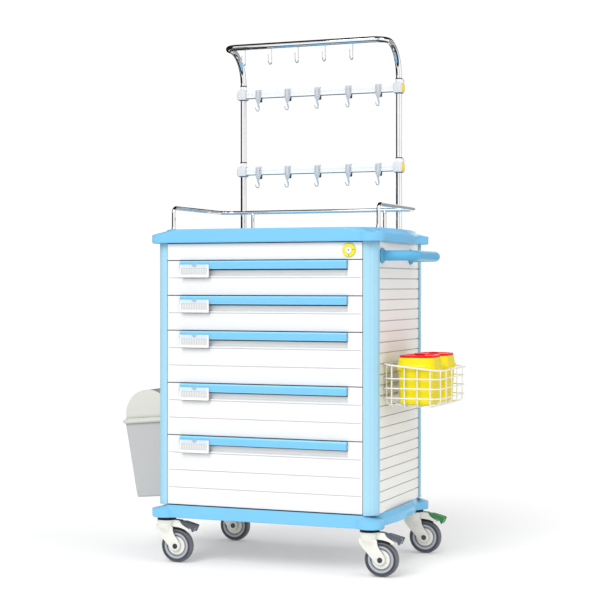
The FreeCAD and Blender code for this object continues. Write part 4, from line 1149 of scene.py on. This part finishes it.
def guard_rail():
    foot, z = DECK_TOP, GUARD_Z
    right = [(GUARD_X, GUARD_FRONT, foot), (GUARD_X, GUARD_FRONT, z), (GUARD_X, GUARD_REAR, z)]
    path = rounded_path(right + mirrored(right[::-1]), [16.0, 36.0, 36.0, 16.0], 14)
    s = Shape()
    s.tube(divided(path, 30.0), GUARD_R, 28)
    for x in (-GUARD_POST_X, GUARD_POST_X):
        s.tube([(x, GUARD_REAR, foot), (x, GUARD_REAR, z)], GUARD_R - 0.5, 24)
        weld = GUARD_R - 0.5
        s.lathe([(weld - 0.4, -9.2), (weld + 0.5, -8.4), (weld + 1.0, -7.0), (weld + 0.4, -5.0),
            (weld - 0.4, -5.0)], (x, GUARD_REAR, z), "z", 24)
        s.lathe(foot_profile(weld, 9.0, 6.0), (x, GUARD_REAR, foot), "z", 36)
    for x in (-GUARD_X, GUARD_X):
        s.lathe(foot_profile(GUARD_R, 8.5, 8.0), (x, GUARD_FRONT, foot), "z", 36)
    make(s, "guard_rail_tube", "cart", ["chrome"], ["guard_rail"])


def drip_frame():
    z = TOP_BAR_Z
    right = [(POLE_X, POLE_Y, DECK_TOP), (POLE_X, POLE_Y, z), (POLE_X, TOP_BAR_Y, z)]
    bends = [POLE_BEND, TOP_BAR_BEND, TOP_BAR_BEND, POLE_BEND]
    path = rounded_path(right + mirrored(right[::-1]), bends, 20)
    s = Shape()
    s.tube(divided(path, 40.0), POLE_R, 36)
    for x in (-POLE_X, POLE_X):
        s.lathe(foot_profile(POLE_R, 13.0, 10.0), (x, POLE_Y, DECK_TOP), "z", 40)
    bend = TOP_HOOK_OPEN / 2.0 - 0.1
    for x in TOP_HOOK_X:
        y, low = TOP_BAR_Y, TOP_HOOK_LOW + TOP_HOOK_R
        hook = rounded_path([(x, y, z - POLE_R + 1.0), (x, y, low), (x, y - TOP_HOOK_OPEN, low),
            (x, y - TOP_HOOK_OPEN, TOP_HOOK_LOW + 29.0)], [bend, bend], 12)
        s.tube(hook, TOP_HOOK_R, 14)
        s.lathe([(AXIS, 1.9), (1.2, 1.6), (1.9, 0.6), (2.0, -0.4), (1.5, -1.6), (AXIS, -1.9)],
            hook[-1], "z", 16)
        s.lathe([(AXIS, 0.5), (3.2, 0.5), (2.9, -0.9), (2.0, -1.7), (AXIS, -1.9)],
            (x, y, z - POLE_R + 0.3), "z", 20)
    make(s, "drip_frame_tube", "cart", ["chrome"], ["iv_frame"])


# ---------------------------------------------------------------- hook rails

def upright_oval(cy, z0, z1, r, x):
    """An upright oval in a plane of constant X."""
    middle, half = (z0 + z1) / 2.0, (z1 - z0) / 2.0
    return [(x, y, z) for y, z in rounded_rect(cy, middle, r, half, r * 0.92, 8)]


def clamp(side, top):
    """A pole clamp: block with painted shade on its underside, split collar, rear knob and wing,
    and oval cap.
    """
    z1 = top + 3.0
    z0 = z1 - CLAMP_TALL
    s = Shape()
    hy = (CLAMP_BACK - CLAMP_FRONT) / 2.0
    cy = (CLAMP_FRONT + CLAMP_BACK) / 2.0
    block = ((2.4, z0 + 2.4, 3.4), (0.7, z0 + 2.8, 3.4), (0.0, z0 + 3.8, 3.4),
        (0.0, z1 - 2.2, 3.4), (0.6, z1 - 0.7, 3.4), (2.2, z1, 3.4))
    # Painted shade: the block's rounded underside is coloured dark for the shade it lies in.
    painted_underside = ((6.0, z0, 4.0), (4.6, z0 + 0.5, 3.4), (1.4, z0 + 2.6, 3.4))
    for levels, finish in ((block, 3), (painted_underside, 4)):
        s.skin(stacked(POLE_X, cy, CLAMP_HALF, hy, levels, 5), finish)
    # Painted sheen: a thin pale violet strip on the front face by the outer edge.
    s.block(POLE_X + CLAMP_HALF - 3.6, POLE_X + CLAMP_HALF - 2.9, CLAMP_FRONT - 0.05,
        CLAMP_FRONT + 1.0, z0 + 3.0, z1 - 2.6, 5)
    inner = POLE_R + 0.1
    at = (POLE_X, POLE_Y, z1)
    r = COLLAR_R - 1.4
    s.lathe([(inner, -0.5), (r, -0.5), (r, 10.0), (r - 0.3, 11.4), (r - 0.9, 12.4), (inner, 12.6)],
        at, "z", 44, 0)
    ring = [(inner, 12.5), (COLLAR_R - 2.6, 12.5), (COLLAR_R - 2.0, 13.0), (COLLAR_R - 1.8, 13.6),
        (COLLAR_R - 1.8, 15.2), (COLLAR_R - 2.4, COLLAR_TALL), (inner, COLLAR_TALL)]
    s.lathe(ring, at, "z", 44, 6)
    for turn in (-14.0, 14.0):
        x, y = polar(turn - 90.0, COLLAR_R - 0.2)
        lug = Shape()
        lug.block(-0.8, 0.8, -1.6, 0.6, 0.6, 12.0, 0)
        place = Matrix.Translation((POLE_X + x, POLE_Y + y, z1))
        s.merge(lug, place @ Matrix.Rotation(math.radians(turn), 4, "Z"))
    x0 = POLE_X + CLAMP_HALF - 0.4
    low, high, cap_y = z0 + 2.6, z1 - 2.6, POLE_Y - 4.0
    steps = ((0.0, 0.0), (0.0, 2.0), (0.4, 3.2), (1.4, 4.1), (3.2, 4.4))
    cap = [upright_oval(cap_y, low + inset, high - inset, CAP_R - inset, x0 + out)
        for inset, out in steps]
    s.skin(cap, 1)
    mid = (z0 + z1) / 2.0
    s.lathe([(AXIS, 0.0), (5.6, 0.0), (6.0, 0.5), (6.0, 6.4), (5.4, 7.4), (3.4, 8.0),
        (AXIS, 8.0)], (POLE_X, CLAMP_BACK - 0.1, mid), "y", 28, 2)
    x, y = POLE_X + 6.0, CLAMP_BACK + 3.6
    loop = arc(x, z1 + 6.4, 5.2, 7.2, 0.0, 360.0, 20)[:-1]
    s.tube([(u, y, z) for u, z in loop], 1.5, 10, 3, True)
    s.tube([(x, y, mid + 4.0), (x, y, z1)], 2.0, 12, 3)
    if side < 0:
        s.points = mirrored(s.points)
    return s


def hook_rails():
    for level, top in RAIL_TOPS.items():
        s = Shape()
        low = top - RAIL_TALL
        mid, f, b = (top + low) / 2.0, RAIL_FRONT, RAIL_BACK
        section = [(f, low + 2.6), (f + 0.4, low + 2.0), (b - 0.4, low + 2.0), (b, low + 2.6),
            (b, top - 1.0), (b - 0.3, top - 0.3), (b - 1.0, top), (f + 1.0, top),
            (f + 0.3, top - 0.3), (f, top - 1.0), (f, mid + 2.0), (f + 0.5, mid + 1.4),
            (f + 0.5, mid - 1.4), (f, mid - 2.0)]
        reach = POLE_X - CLAMP_HALF + 2.0
        s.prism(section, "yz", -reach, reach)
        # Painted shade: a dark strip along the rail's underside stands for the shade under it.
        strip = [(f + 0.2, low + 2.2), (f + 0.2, low + 0.4), (f + 0.5, low), (b - 0.5, low),
            (b - 0.2, low + 0.4), (b - 0.2, low + 2.2)]
        s.prism(strip, "yz", -reach, reach, 4)
        for side in (1, -1):
            s.merge(clamp(side, top))
        finishes = ["rail", "cap", "chrome", "clamp", "painted_underside", "clamp_painted_sheen", "dark_metal"]
        make(s, "hook_rail_%s_bar" % level, "rail_" + level, finishes,
            ["rail_" + level], sharp=32.0)


def hook_mesh():
    """A ribbed saddle, a tapering tongue, a small hook and a dark spring clip behind the rail."""
    front, back = RAIL_FRONT - 0.1, RAIL_BACK + 0.1
    half = HOOK_WIDE / 2.0
    z1, z0 = 2.5, -28.0
    s = Shape()
    face = front - 5.0
    edge = [(-half, face + 1.8), (-half + 0.4, face + 1.0), (-half + 1.4, face + 0.7)]
    inner = [(-half + 4.0, face + 0.9), (-half + 4.6, face), (-2.4, face), (-1.9, face + 0.6)]
    ribs = edge + inner
    ribs += [(-x, y) for x, y in reversed(ribs)]
    outline = ribs + [(half, front), (-half, front)]
    rings = []
    for z, lift, squeeze in ((z0, 1.0, 0.92), (z0 + 0.8, 0.3, 0.97), (z0 + 2.2, 0.0, 0.98),
            (-1.8, 0.0, 0.98), (-1.2, 0.0, 1.0), (z1 - 1.6, 0.0, 1.0), (z1 - 0.5, 0.6, 0.985),
            (z1, 1.6, 0.95)):
        rings.append([(x * squeeze, min(front, y + lift), z) for x, y in outline])
    s.skin(rings)
    for sign in (1, -1):
        a, b = sign * (half - 3.6), sign * (half - 1.3)
        s.block(a, b, face + 0.45, face + 1.2, z0 + 3.0, -2.6, 2)
    roof = [(front - 1.0, 0.1), (back, 0.1), (back, -14.0), (back + 2.2, -15.0),
        (back + 2.6, z1 - 1.4), (back + 1.6, z1 - 0.3), (back + 0.4, z1), (front - 1.0, z1)]
    s.prism(roof, "yz", -half + 0.3, half - 0.3)
    rings = []
    for z, w, y0, y1 in ((z0 + 2.0, half * 0.94, 4.8, 0.6), (z0 - 0.6, half * 0.94, 4.8, 0.6),
            (z0 - 6.0, half * 0.76, 4.6, 0.8), (z0 - 12.0, half * 0.5, 4.4, 1.0),
            (z0 - 18.0, half * 0.27, 4.4, 1.2), (z0 - 24.0, 2.0, 4.6, 1.4)):
        section = rounded_rect(0, front - (y0 + y1) / 2.0, w, (y0 - y1) / 2.0, 1.3, 3)
        rings.append(at_height(section, z))
    s.skin(rings, 3)
    y, low, depth = front + 5.2, z1 - 68.6, 20.0
    path = rounded_path([(0, front - 3.0, z0 - 12), (0, front - 2.6, z0 - 15), (0, y, z0 - 26),
        (0, y, low), (-1.0, y - depth, low), (-3.0, y - depth - 3.4, low + 8.6)],
        [10.0, 14.0, 8.6, 6.0], 8)
    count = len(path) - 1
    s.tube(path, [2.3 - 0.7 * i / count for i in range(count + 1)], 14, 3)
    ball = [(AXIS, 1.6), (1.2, 1.2), (1.9, 0.2), (1.9, -0.6), (AXIS, -0.8)]
    s.lathe(ball, path[-1], "z", 14, 3)
    clip = [(back + 0.2, -15.0), (back + 3.4, -15.5), (back + 4.6, -26.0), (back + 3.0, -37.0),
        (back - 1.0, -37.5), (front - 0.2, -32.0), (front - 0.2, -26.2), (back + 0.2, -26.2)]
    s.prism(clip, "yz", -half + 3.0, half - 1.0, 1)
    return mesh_of(s, "rail_hook", ["hook", "clip", "hook_rib", "tongue"], 0.3, shift=Vector())


def sliding_hooks():
    mesh = hook_mesh()
    for level, top in RAIL_TOPS.items():
        for n, x in enumerate(HOOK_X, 1):
            name = "hook_%s_%d" % (level, n)
            piece(mesh, name + "_ribbed", name, [name], (x, 0.0, top), 0.35, 2)


# ---------------------------------------------------------------- castors

def swivel_rings():
    s = Shape()
    r, low, high = RING_R, RING_LOW, BASE_BOTTOM
    for x in (-CASTOR_X, CASTOR_X):
        for y in (CASTOR_Y, DEPTH - CASTOR_Y):
            s.lathe([(AXIS, low), (r - 1.2, low), (r - 0.3, low + 0.4), (r, low + 1.2),
                (r, low + 3.4), (r - 0.9, low + 3.8), (r - 0.9, low + 4.8), (r, low + 5.2),
                (r, high), (AXIS, high)], (x, y, 0), "z", 56)
    make(s, "swivel_seat_rings", "cart", ["black"], ["swivel_rings"])


def corners_cut(points):
    """The outline with every corner cut off a quarter of the way along its sides."""
    made = []
    for (ax, az), (bx, bz) in zip(points, points[1:] + points[:1]):
        made.append((ax * 0.75 + bx * 0.25, az * 0.75 + bz * 0.25))
        made.append((ax * 0.25 + bx * 0.75, az * 0.25 + bz * 0.75))
    return made


def fork_mesh():
    s = Shape()
    r, low, high = FORK_R, FORK_LOW, RING_LOW - 0.15
    s.lathe([(AXIS, low - 1.0), (r - 4.0, low - 1.0), (r - 1.6, low), (r - 0.9, low + 4.0),
        (r - 0.4, high - 5.4), (r - 0.2, high - 5.0), (r, high - 4.4), (r, high - 1.2),
        (r - 0.4, high - 0.4), (r - 1.2, high), (AXIS, high)], (0, 0, 0), "z", 64)
    leg = [(-28.4, 112.0), (-28.2, 99.0), (-21.0, 87.0), (0.0, 64.5), (20.0, 43.0), (27.0, 36.5),
        (36.4, 34.2), (46.0, 38.0), (51.6, 47.0), (50.6, 58.0), (42.0, 70.0), (33.0, 82.0),
        (28.0, 92.0), (26.5, 112.0)]
    for y0, y1 in ((LEG_IN, LEG_OUT), (-LEG_OUT, -LEG_IN)):
        s.plate(leg, y0, y1, 1.2, 2)
        cheek = []
        side = 1.0 if y0 > 0 else -1.0
        for share in (0.0, 0.15, 0.3, 0.5, 0.7, 0.85, 1.0):
            z = FORK_LOW + 1.5 - 24.0 * share
            ease = share * share * (3.0 - 2.0 * share)
            left, right = -21.0 + 9.0 * share, 25.0
            ring = []
            for i, hood in enumerate(arc(0.0, 0.0, r - 1.2, r - 1.2, 150.0, 30.0, 16)):
                leg_x = left + (right - left) * i / 16.0
                leg_y = LEG_OUT + 0.2 if 0 < i < 16 else LEG_IN + 0.6
                x = hood[0] + (leg_x - hood[0]) * ease
                ring.append((x, side * (hood[1] + (leg_y - hood[1]) * ease), z))
            ring += [(ring[-1][0], side * LEG_IN, z), (ring[0][0], side * LEG_IN, z)]
            cheek.append(ring)
        s.skin(cheek)
    nose = [(-28.6, 112.0), (-28.4, 98.0), (-26.0, 93.0), (-20.0, 92.0), (-19.0, 112.0)]
    s.plate(nose, -LEG_OUT + 2, LEG_OUT - 2, 1.0, 1)
    arm = [(16.0, 126.4), (44.0, 126.0), (49.0, 124.2), (51.5, 118.2), (59.0, 112.0),
        (66.0, 107.6), (73.0, 104.0), (78.0, 100.6), (74.6, 98.0), (64.0, 102.0), (52.0, 106.0),
        (36.0, 108.0), (16.0, 108.5)]
    for y0, y1 in ((-13.4, -10.2), (10.2, 13.4)):
        s.plate(arm, y0, y1, 0.9, 2)
    s.tube([(PEDAL_X, -13.2, PEDAL_Z), (PEDAL_X, 13.2, PEDAL_Z)], 2.0, 18, 1)
    shoe = [(20.0, 106.0), (48.0, 105.6), (66.0, 100.6), (63.0, 96.4), (49.0, 101.0),
        (36.4, 102.0), (20.0, 101.2)]
    s.plate(shoe, -12.6, 12.6, 0.5, 1, 2)
    s.tube([(TRAIL, -LEG_OUT, WHEEL_R), (TRAIL, LEG_OUT, WHEEL_R)], 4.0, 20, 1)
    for way in (-1, 1):
        y = way * LEG_OUT
        s.lathe([(AXIS, 0.0), (13.2, 0.0), (13.2, way * 0.5), (12.4, way * 1.1), (8.4, way * 1.3),
            (AXIS, way * 1.3)], (TRAIL, y, WHEEL_R), "y", 40)
        s.lathe([(AXIS, way * 1.2), (7.4, way * 1.2), (7.5, way * 3.0), (6.9, way * 3.7),
            (5.4, way * 4.0), (4.6, way * 3.9), (4.2, way * 3.2), (AXIS, way * 3.1)],
            (TRAIL, y, WHEEL_R), "y", 36, 1)
    return mesh_of(s, "castor_fork", ["cream", "bolt", "black"], shift=Vector(), sharp=34.0)


def wheel_mesh():
    s = Shape()
    at = (TRAIL, 0.0, WHEEL_R)
    w = WHEEL_WIDE / 2.0
    tread = [(45.2, -w + 0.4), (46.6, -w + 1.0), (48.0, -w + 2.2), (49.2, -w + 4.2),
        (49.8, -w + 6.8), (50.0, -w + 9.6)]
    s.lathe(both_ways(tread) + [(38.6, 10.0), (38.6, -10.0)], at, "y", 96, 0)
    for way in (-1, 1):
        wall = [(38.6, way * 10.0), (38.8, way * (w - 0.9)), (41.5, way * (w - 0.25)),
            (44.2, way * w), (45.4, way * (w - 0.3)), (45.6, way * 10.0)]
        s.lathe(wall, at, "y", 96, 3)
    rim = [(31.0, -4.4), (31.2, -10.2), (32.0, -11.3), (33.4, -11.9), (36.8, -12.0), (38.2, -11.7),
        (38.8, -11.0)]
    s.lathe(both_ways(rim), at, "y", 80, 1)
    disc = [(4.1, -13.2), (11.5, -13.2), (12.4, -12.9), (13.6, -11.6), (15.2, -11.0),
        (24.0, -10.8), (26.4, -10.4), (27.6, -9.0), (28.0, -5.0), (31.6, -4.6)]
    s.lathe(both_ways(disc), at, "y", 80, 2)
    for x, z in arc(TRAIL, WHEEL_R, 20.5, 20.5, 22.5, 337.5, 7):
        for way in (-1, 1):
            dot = [(AXIS, way * 0.6), (1.6, way * 0.5), (2.2, 0.0), (AXIS, 0.0)]
            s.lathe(dot, (x, way * 10.9, z), "y", 12, 2)
    return mesh_of(s, "castor_wheel", ["tyre", "hub_ring", "cream", "side_wall"], shift=Vector(),
        sharp=50.0)


def pedal_mesh(finish):
    s = Shape()
    x, z = PEDAL_X, PEDAL_Z
    s.lathe([(2.1, -9.8), (4.0, -9.8), (4.5, -9.3), (4.5, 9.3), (4.0, 9.8), (2.1, 9.8)], (x, 0, z),
        "y", 28)
    neck = [(x + 1.0, z + 4.3), (56.0, z + 4.2), (56.0, z - 1.4), (x + 1.0, z - 2.4)]
    s.plate(neck, -9.8, 9.8, 0.6)
    wedge = [(54.4, 120.8), (56.6, 123.6), (64.0, 122.6), (80.0, 118.6), (98.0, 114.6),
        (101.4, 112.8), (99.6, 109.4), (94.4, 98.0), (91.6, 94.0), (88.6, 96.6), (86.6, 104.0),
        (78.0, 109.8), (66.0, 114.4), (55.4, 117.4)]
    plate = [(54.4, 121.4), (56.6, 123.6), (64.0, 122.6), (80.0, 118.6), (98.0, 114.0),
        (101.0, 111.8), (98.6, 109.6), (95.0, 111.6), (80.0, 115.8), (64.0, 119.8), (56.0, 120.6)]
    lip = [(99.0, 109.0), (94.4, 98.0), (91.6, 94.0), (88.8, 96.4), (90.6, 101.0), (94.6, 112.0)]
    for y0, y1 in ((-14.4, -13.7), (13.7, 14.4)):
        s.plate(wedge, y0, y1, 0.3, 1)
    s.plate(plate, -14.3, 14.3, 0.8, 1)
    s.plate(lip, -14.0, 14.0, 0.8, 1)
    for k in range(5):
        x = 62.0 + k * 7.4
        rib = Shape()
        rib.block(-1.1, 1.1, -11.0, 11.0, -0.8, 0.6)
        slope = Matrix.Translation((x, 0, 123.5 - (x - 60.0) * 0.245))
        s.merge(rib, slope @ Matrix.Rotation(math.radians(13.5), 4, "Y"))
    return mesh_of(s, "castor_pedal_" + finish, [finish], shift=Vector(), sharp=34.0)


def castors():
    swivel_rings()
    fork, wheel = fork_mesh(), wheel_mesh()
    grey, green = pedal_mesh("pedal"), pedal_mesh("pedal_green")
    for side, x in (("left", -CASTOR_X), ("right", CASTOR_X)):
        for end, y in (("front", CASTOR_Y), ("rear", DEPTH - CASTOR_Y)):
            name = "castor_%s_%s" % (end, side)
            where = (x, y, 0.0)
            piece(fork, name + "_fork_body", name + "_swivel", [name + "_fork"],
                where)
            piece(wheel, name + "_wheel_tyre", name + "_roller", [name + "_wheel"],
                where)
            rear_right = (end, side) == ("rear", "right")
            piece(green if rear_right else grey, name + "_brake_pedal", name + "_brake",
                [name + "_pedal"], where)


# ---------------------------------------------------------------- basket and sharps bins

def wire_basket():
    r, rim = BASKET_WIRE_R, BASKET_RIM_R
    s = Shape()
    x0, x1 = BASKET_LEFT + 2 * r + 1.0, BASKET_RIGHT - 3 * r - 0.05
    z = BASKET_LOW + 3 * r + 0.05
    for k in range(5):
        y = BASKET_FRONT + 30 + k * 57.75
        s.tube(rounded_path([(x0, y, BASKET_RIM_IN - 3), (x0, y, z), (x1, y, z),
            (x1, y, BASKET_RIM_OUT - 3)], [14.0, 14.0], 8), r, 12)
    y0, y1 = BASKET_FRONT + 3 * r + 0.05, BASKET_BACK - 3 * r - 0.05
    z = BASKET_LOW + r
    slope = (BASKET_RIM_OUT - BASKET_RIM_IN) / (BASKET_RIGHT - BASKET_LEFT)
    for k in range(4):
        x = BASKET_LEFT + 28 + k * 38.5
        top = BASKET_RIM_IN + slope * (x - BASKET_LEFT) - 3
        wire = [(x, y0, top), (x, y0, z), (x, y1, z), (x, y1, top)]
        s.tube(rounded_path(wire, [14.0, 14.0], 8), r, 12)
    loops = [(h, h, r, 0.0) for h in BASKET_LOOP_Z] + [(BASKET_RIM_IN, BASKET_RIM_OUT, rim, rim)]
    for z_in, z_out, wire, grow in loops:
        a, b = BASKET_LEFT + wire, BASKET_RIGHT - wire + grow
        c, d = BASKET_FRONT + wire - grow, BASKET_BACK - wire + grow
        corners = [Vector((a, c, z_in)), Vector((b, c, z_out)), Vector((b, d, z_out)),
            Vector((a, d, z_in))]
        middle = (corners[0] + corners[3]) * 0.5
        path = rounded_path([middle] + corners + [middle], [BASKET_CORNER] * 4, 12)
        s.tube(path[:-1], wire, 14, 0, True)
    make(s, "wire_basket_coated", "cart", ["wire"], ["wire_basket"])


def sharps_body(which, cy):
    cx, hx, hy = SHARPS_X, SHARPS_HALF_X, SHARPS_HALF_Y
    low, collar, top = SHARPS_LOW, SHARPS_COLLAR, SHARPS_TOP
    levels = ((15.0, low + 1.6, 20.0), (14.0, low, 21.0), (11.0, low + 0.4, 24.0),
        (9.4, low + 1.8, 26.0), (8.8, low + 5.0, 27.0), (6.8, (low + collar) / 2.0, 29.0),
        (4.4, collar - 10.0, 31.0), (4.2, collar - 8.4, 31.0), (2.4, collar - 7.2, 32.0),
        (0.9, collar - 5.0, 33.0), (0.1, collar - 1.6, 33.0), (0.0, collar + 0.6, 33.0),
        (0.4, collar + 3.6, 33.0), (1.4, collar + 6.4, 32.0), (2.6, collar + 8.4, 32.0),
        (3.4, collar + 13.0, 31.0), (4.6, collar + 20.0, 31.0), (5.6, top - 4.0, 30.0),
        (6.2, top - 1.2, 30.0), (7.2, top - 0.2, 29.0), (12.0, top - 0.1, 25.0))
    s = Shape()
    s.skin(stacked(cx, cy, hx, hy, levels, 10))
    make(s, "sharps_%s_container" % which, "sharps_" + which, ["sharps"],
        ["sharps_%s_body" % which], sharp=60.0)


def sharps_cover(which, cy):
    cx, hx, hy = SHARPS_X, SHARPS_HALF_X - 7, SHARPS_HALF_Y - 7
    z0, z1 = SHARPS_TOP, SHARPS_LID_TOP
    steps = ((0.4, z0 + 0.05), (0.0, z0 + 0.6), (0.0, z0 + 3.0), (0.3, z0 + 4.8), (1.2, z1 - 0.7),
        (2.6, z1 - 0.1), (4.4, z1), (8.0, z1), (9.4, z1 - 0.4), (10.4, z1 - 1.8), (12.0, z1 - 2.2),
        (22.0, z1 - 2.2))
    levels = [(inset, z, max(8.0, 30 - 0.8 * inset)) for inset, z in steps]
    s = Shape()
    s.skin(stacked(cx, cy, hx, hy, levels, 10))
    outline = [(cx - 14, z1 - 3), (cx - 14, z1 + 0.6), (cx - 12.5, z1 + 1.8), (cx - 9.0, z1 + 2.4),
        (cx + 9.0, z1 + 2.4), (cx + 12.5, z1 + 1.8), (cx + 14, z1 + 0.6), (cx + 14, z1 - 3)]
    s.plate(outline, cy - 2.0, cy + 2.0, 0.5)
    s.lathe([(AXIS, -0.6), (13.0, -0.6), (13.0, 0.0), (12.0, 0.5), (10.6, 0.5), (10.0, 0.0),
        (AXIS, 0.0)], (cx, cy, z1 - 1.8), "z", 36)
    make(s, "sharps_%s_cover" % which, "sharps_%s_lid" % which, ["sharps_lid"],
        ["sharps_%s_lid" % which], sharp=45.0)


# ---------------------------------------------------------------- waste bin

BIN_MATRIX = (Matrix.Translation((BIN_X, BIN_Y, BIN_Z))
              @ Matrix.Rotation(math.radians(-BIN_TILT), 4, "Y"))


def hung(shape):
    shape.points = [BIN_MATRIX @ p for p in shape.points]
    return shape


def bin_bucket():
    bx, by = BIN_BOTTOM_HALF
    tx, ty = BIN_TOP_HALF
    s = Shape()
    levels = [(0.0, 5.0, 9), (0.5, 2.2, 12), (2.2, 0.5, 13.4), (5.0, 0.0, 14)]
    levels += [(z, 0.0, 14) for z in (60.0, 120.0, 180.0, 226.0, BIN_HIGH - 0.8)]
    levels += [(BIN_HIGH, 0.8, 13), (BIN_HIGH, 1.8, 12.6), (BIN_HIGH - 0.8, 2.5, 12)]
    levels += [(z, 2.5, 12) for z in (180.0, 120.0, 60.0)]
    levels += [(6.0, 2.8, 12), (3.4, 4.4, 11), (2.6, 8.0, 9)]
    rings = []
    for z, inset, r in levels:
        share = z / BIN_HIGH
        hx, hy = bx + (tx - bx) * share - inset, by + (ty - by) * share - inset
        rings.append(at_height(rounded_rect(0, 0, hx, hy, r + 6 * share, 8), z))
    s.skin(rings)
    make(hung(s), "waste_bin_bucket", "bin", ["bin"], ["bin_bucket"], sharp=50.0)


def bin_lid():
    low, wide, top = BIN_RIM_LOW, BIN_RIM_WIDEST, LID_TOP_Z
    dome = (DOME_HALF + 4, DOME_END_OUT + 2)
    levels = [(BIN_TOP_HALF, 0.4, BIN_HIGH + 0.05, 20), (BIN_TOP_HALF, 0.4, low + 1.0, 20),
        (BIN_TOP_HALF, 0.9, low + 0.1, 20.5), (BIN_RIM_HALF, -4.6, low, 24),
        (BIN_RIM_HALF, -3.6, low + 0.4, 24), (BIN_RIM_HALF, -0.5, low + 4.6, 26),
        (BIN_RIM_HALF, 0.0, low + 5.8, 26), (BIN_RIM_HALF, 0.0, wide - 0.8, 26),
        (BIN_RIM_HALF, -0.5, wide + 0.3, 26), (dome, 1.6, top - 0.8, 17), (dome, 0.0, top, 16),
        ((DOME_HALF + 2.6, DOME_END_OUT + 0.8), 0.0, top, 14),
        ((DOME_HALF + 1.7, DOME_END_IN + 0.2), 0.0, top - 0.4, 7),
        ((DOME_HALF + 1.5, DOME_END_IN), 0.0, BIN_HIGH + 0.05, 6)]
    rings = [at_height(rounded_rect(0, 0, hx + out, hy + out, r, 8), z)
        for (hx, hy), out, z, r in levels]
    s = Shape()
    s.skin(rings, 0, (False, False), True)
    for y0, y1 in ((-DOME_END_OUT, -DOME_END_IN), (DOME_END_IN, DOME_END_OUT)):
        outline = [(DOME_HALF, top - 1.0)]
        outline += arc(0.0, top + DOME_STRAIGHT, DOME_HALF, DOME_HALF, 0.0, 180.0, 28)
        outline.append((-DOME_HALF, top - 1.0))
        s.plate(outline, y0, y1, 0.7)
    make(hung(s), "waste_bin_lid", "bin_lid", ["bin_cream"], ["bin_lid"], sharp=45.0)


def bin_flap():
    w = DOME_END_IN - 0.6
    z = LID_TOP_Z + DOME_STRAIGHT
    outer, inner, end = FLAP_R, FLAP_R - 2.5, FLAP_R - 14.0
    section = both_ways([(outer, -w + 1.2), (outer - 1.2, -w), (end, -w), (end, -w + 2.5),
        (inner, -w + 2.5)])
    arch = arc(0.0, 0.0, 1.0, 1.0, 0.0, 180.0, 36)
    s = Shape()
    s.skin([[(r * c, y, z + r * n) for r, y in section] for c, n in arch])
    web = [((outer - 13.0) * c, z + 0.02 + (outer - 13.0) * n) for c, n in arch]
    for y0, y1 in ((-w, -w + 2.5), (w - 2.5, w)):
        s.plate(web, y0, y1, 0.3)
    for y0, y1 in ((-DOME_END_OUT + 0.2, -w + 2.5), (w - 2.5, DOME_END_OUT - 0.2)):
        s.tube([(FLAP_PIVOT_X, y0, FLAP_PIVOT_Z), (FLAP_PIVOT_X, y1, FLAP_PIVOT_Z)], FLAP_PIN_R,
            20)
    make(hung(s), "waste_bin_push_flap", "bin_flap", ["flap"], ["bin_flap"],
        sharp=40.0)


def bin_hanger():
    x0 = -PANEL_X
    s = Shape()
    s.prism(rounded_rect(BIN_Y, 368.0, 60.0, 38.0, 8.0), "yz", x0 - 3.0, x0)
    for y in (BIN_Y - 50, BIN_Y + 30):
        s.block(x0 - 11, x0 - 2, y, y + 20, 350, 406.4)
    for y, z in ((BIN_Y - 15, 340.0), (BIN_Y + 15, 340.0), (BIN_Y - 15, 396.0),
            (BIN_Y + 15, 396.0)):
        s.lathe([(AXIS, -2.8), (4.6, -2.8), (4.4, -3.9), (3.2, -4.6), (1.6, -4.8), (AXIS, -4.6)],
            (x0, y, z), "x", 24)
    make(s, "bin_hanger_bracket", "cart", ["runner"], ["bin_hanger"], 0.8)


# ---------------------------------------------------------------- assembly

def kept_nodes():
    """CAD nodes that stay as they are, with a better finish."""
    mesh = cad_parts["drawer_runners"].data
    mesh.materials.clear()
    mesh.materials.append(MATERIALS["runner"])


camera()
stage()
base_tray()
worktop()
corner_posts()
wall_panels()
header_panel()
drawers()
lock()
push_handle()
guard_rail()
drip_frame()
hook_rails()
sliding_hooks()
castors()
wire_basket()
for which, cy in zip(("front", "rear"), SHARPS_Y):
    sharps_body(which, cy)
    sharps_cover(which, cy)
bin_bucket()
bin_lid()
bin_flap()
bin_hanger()
kept_nodes()
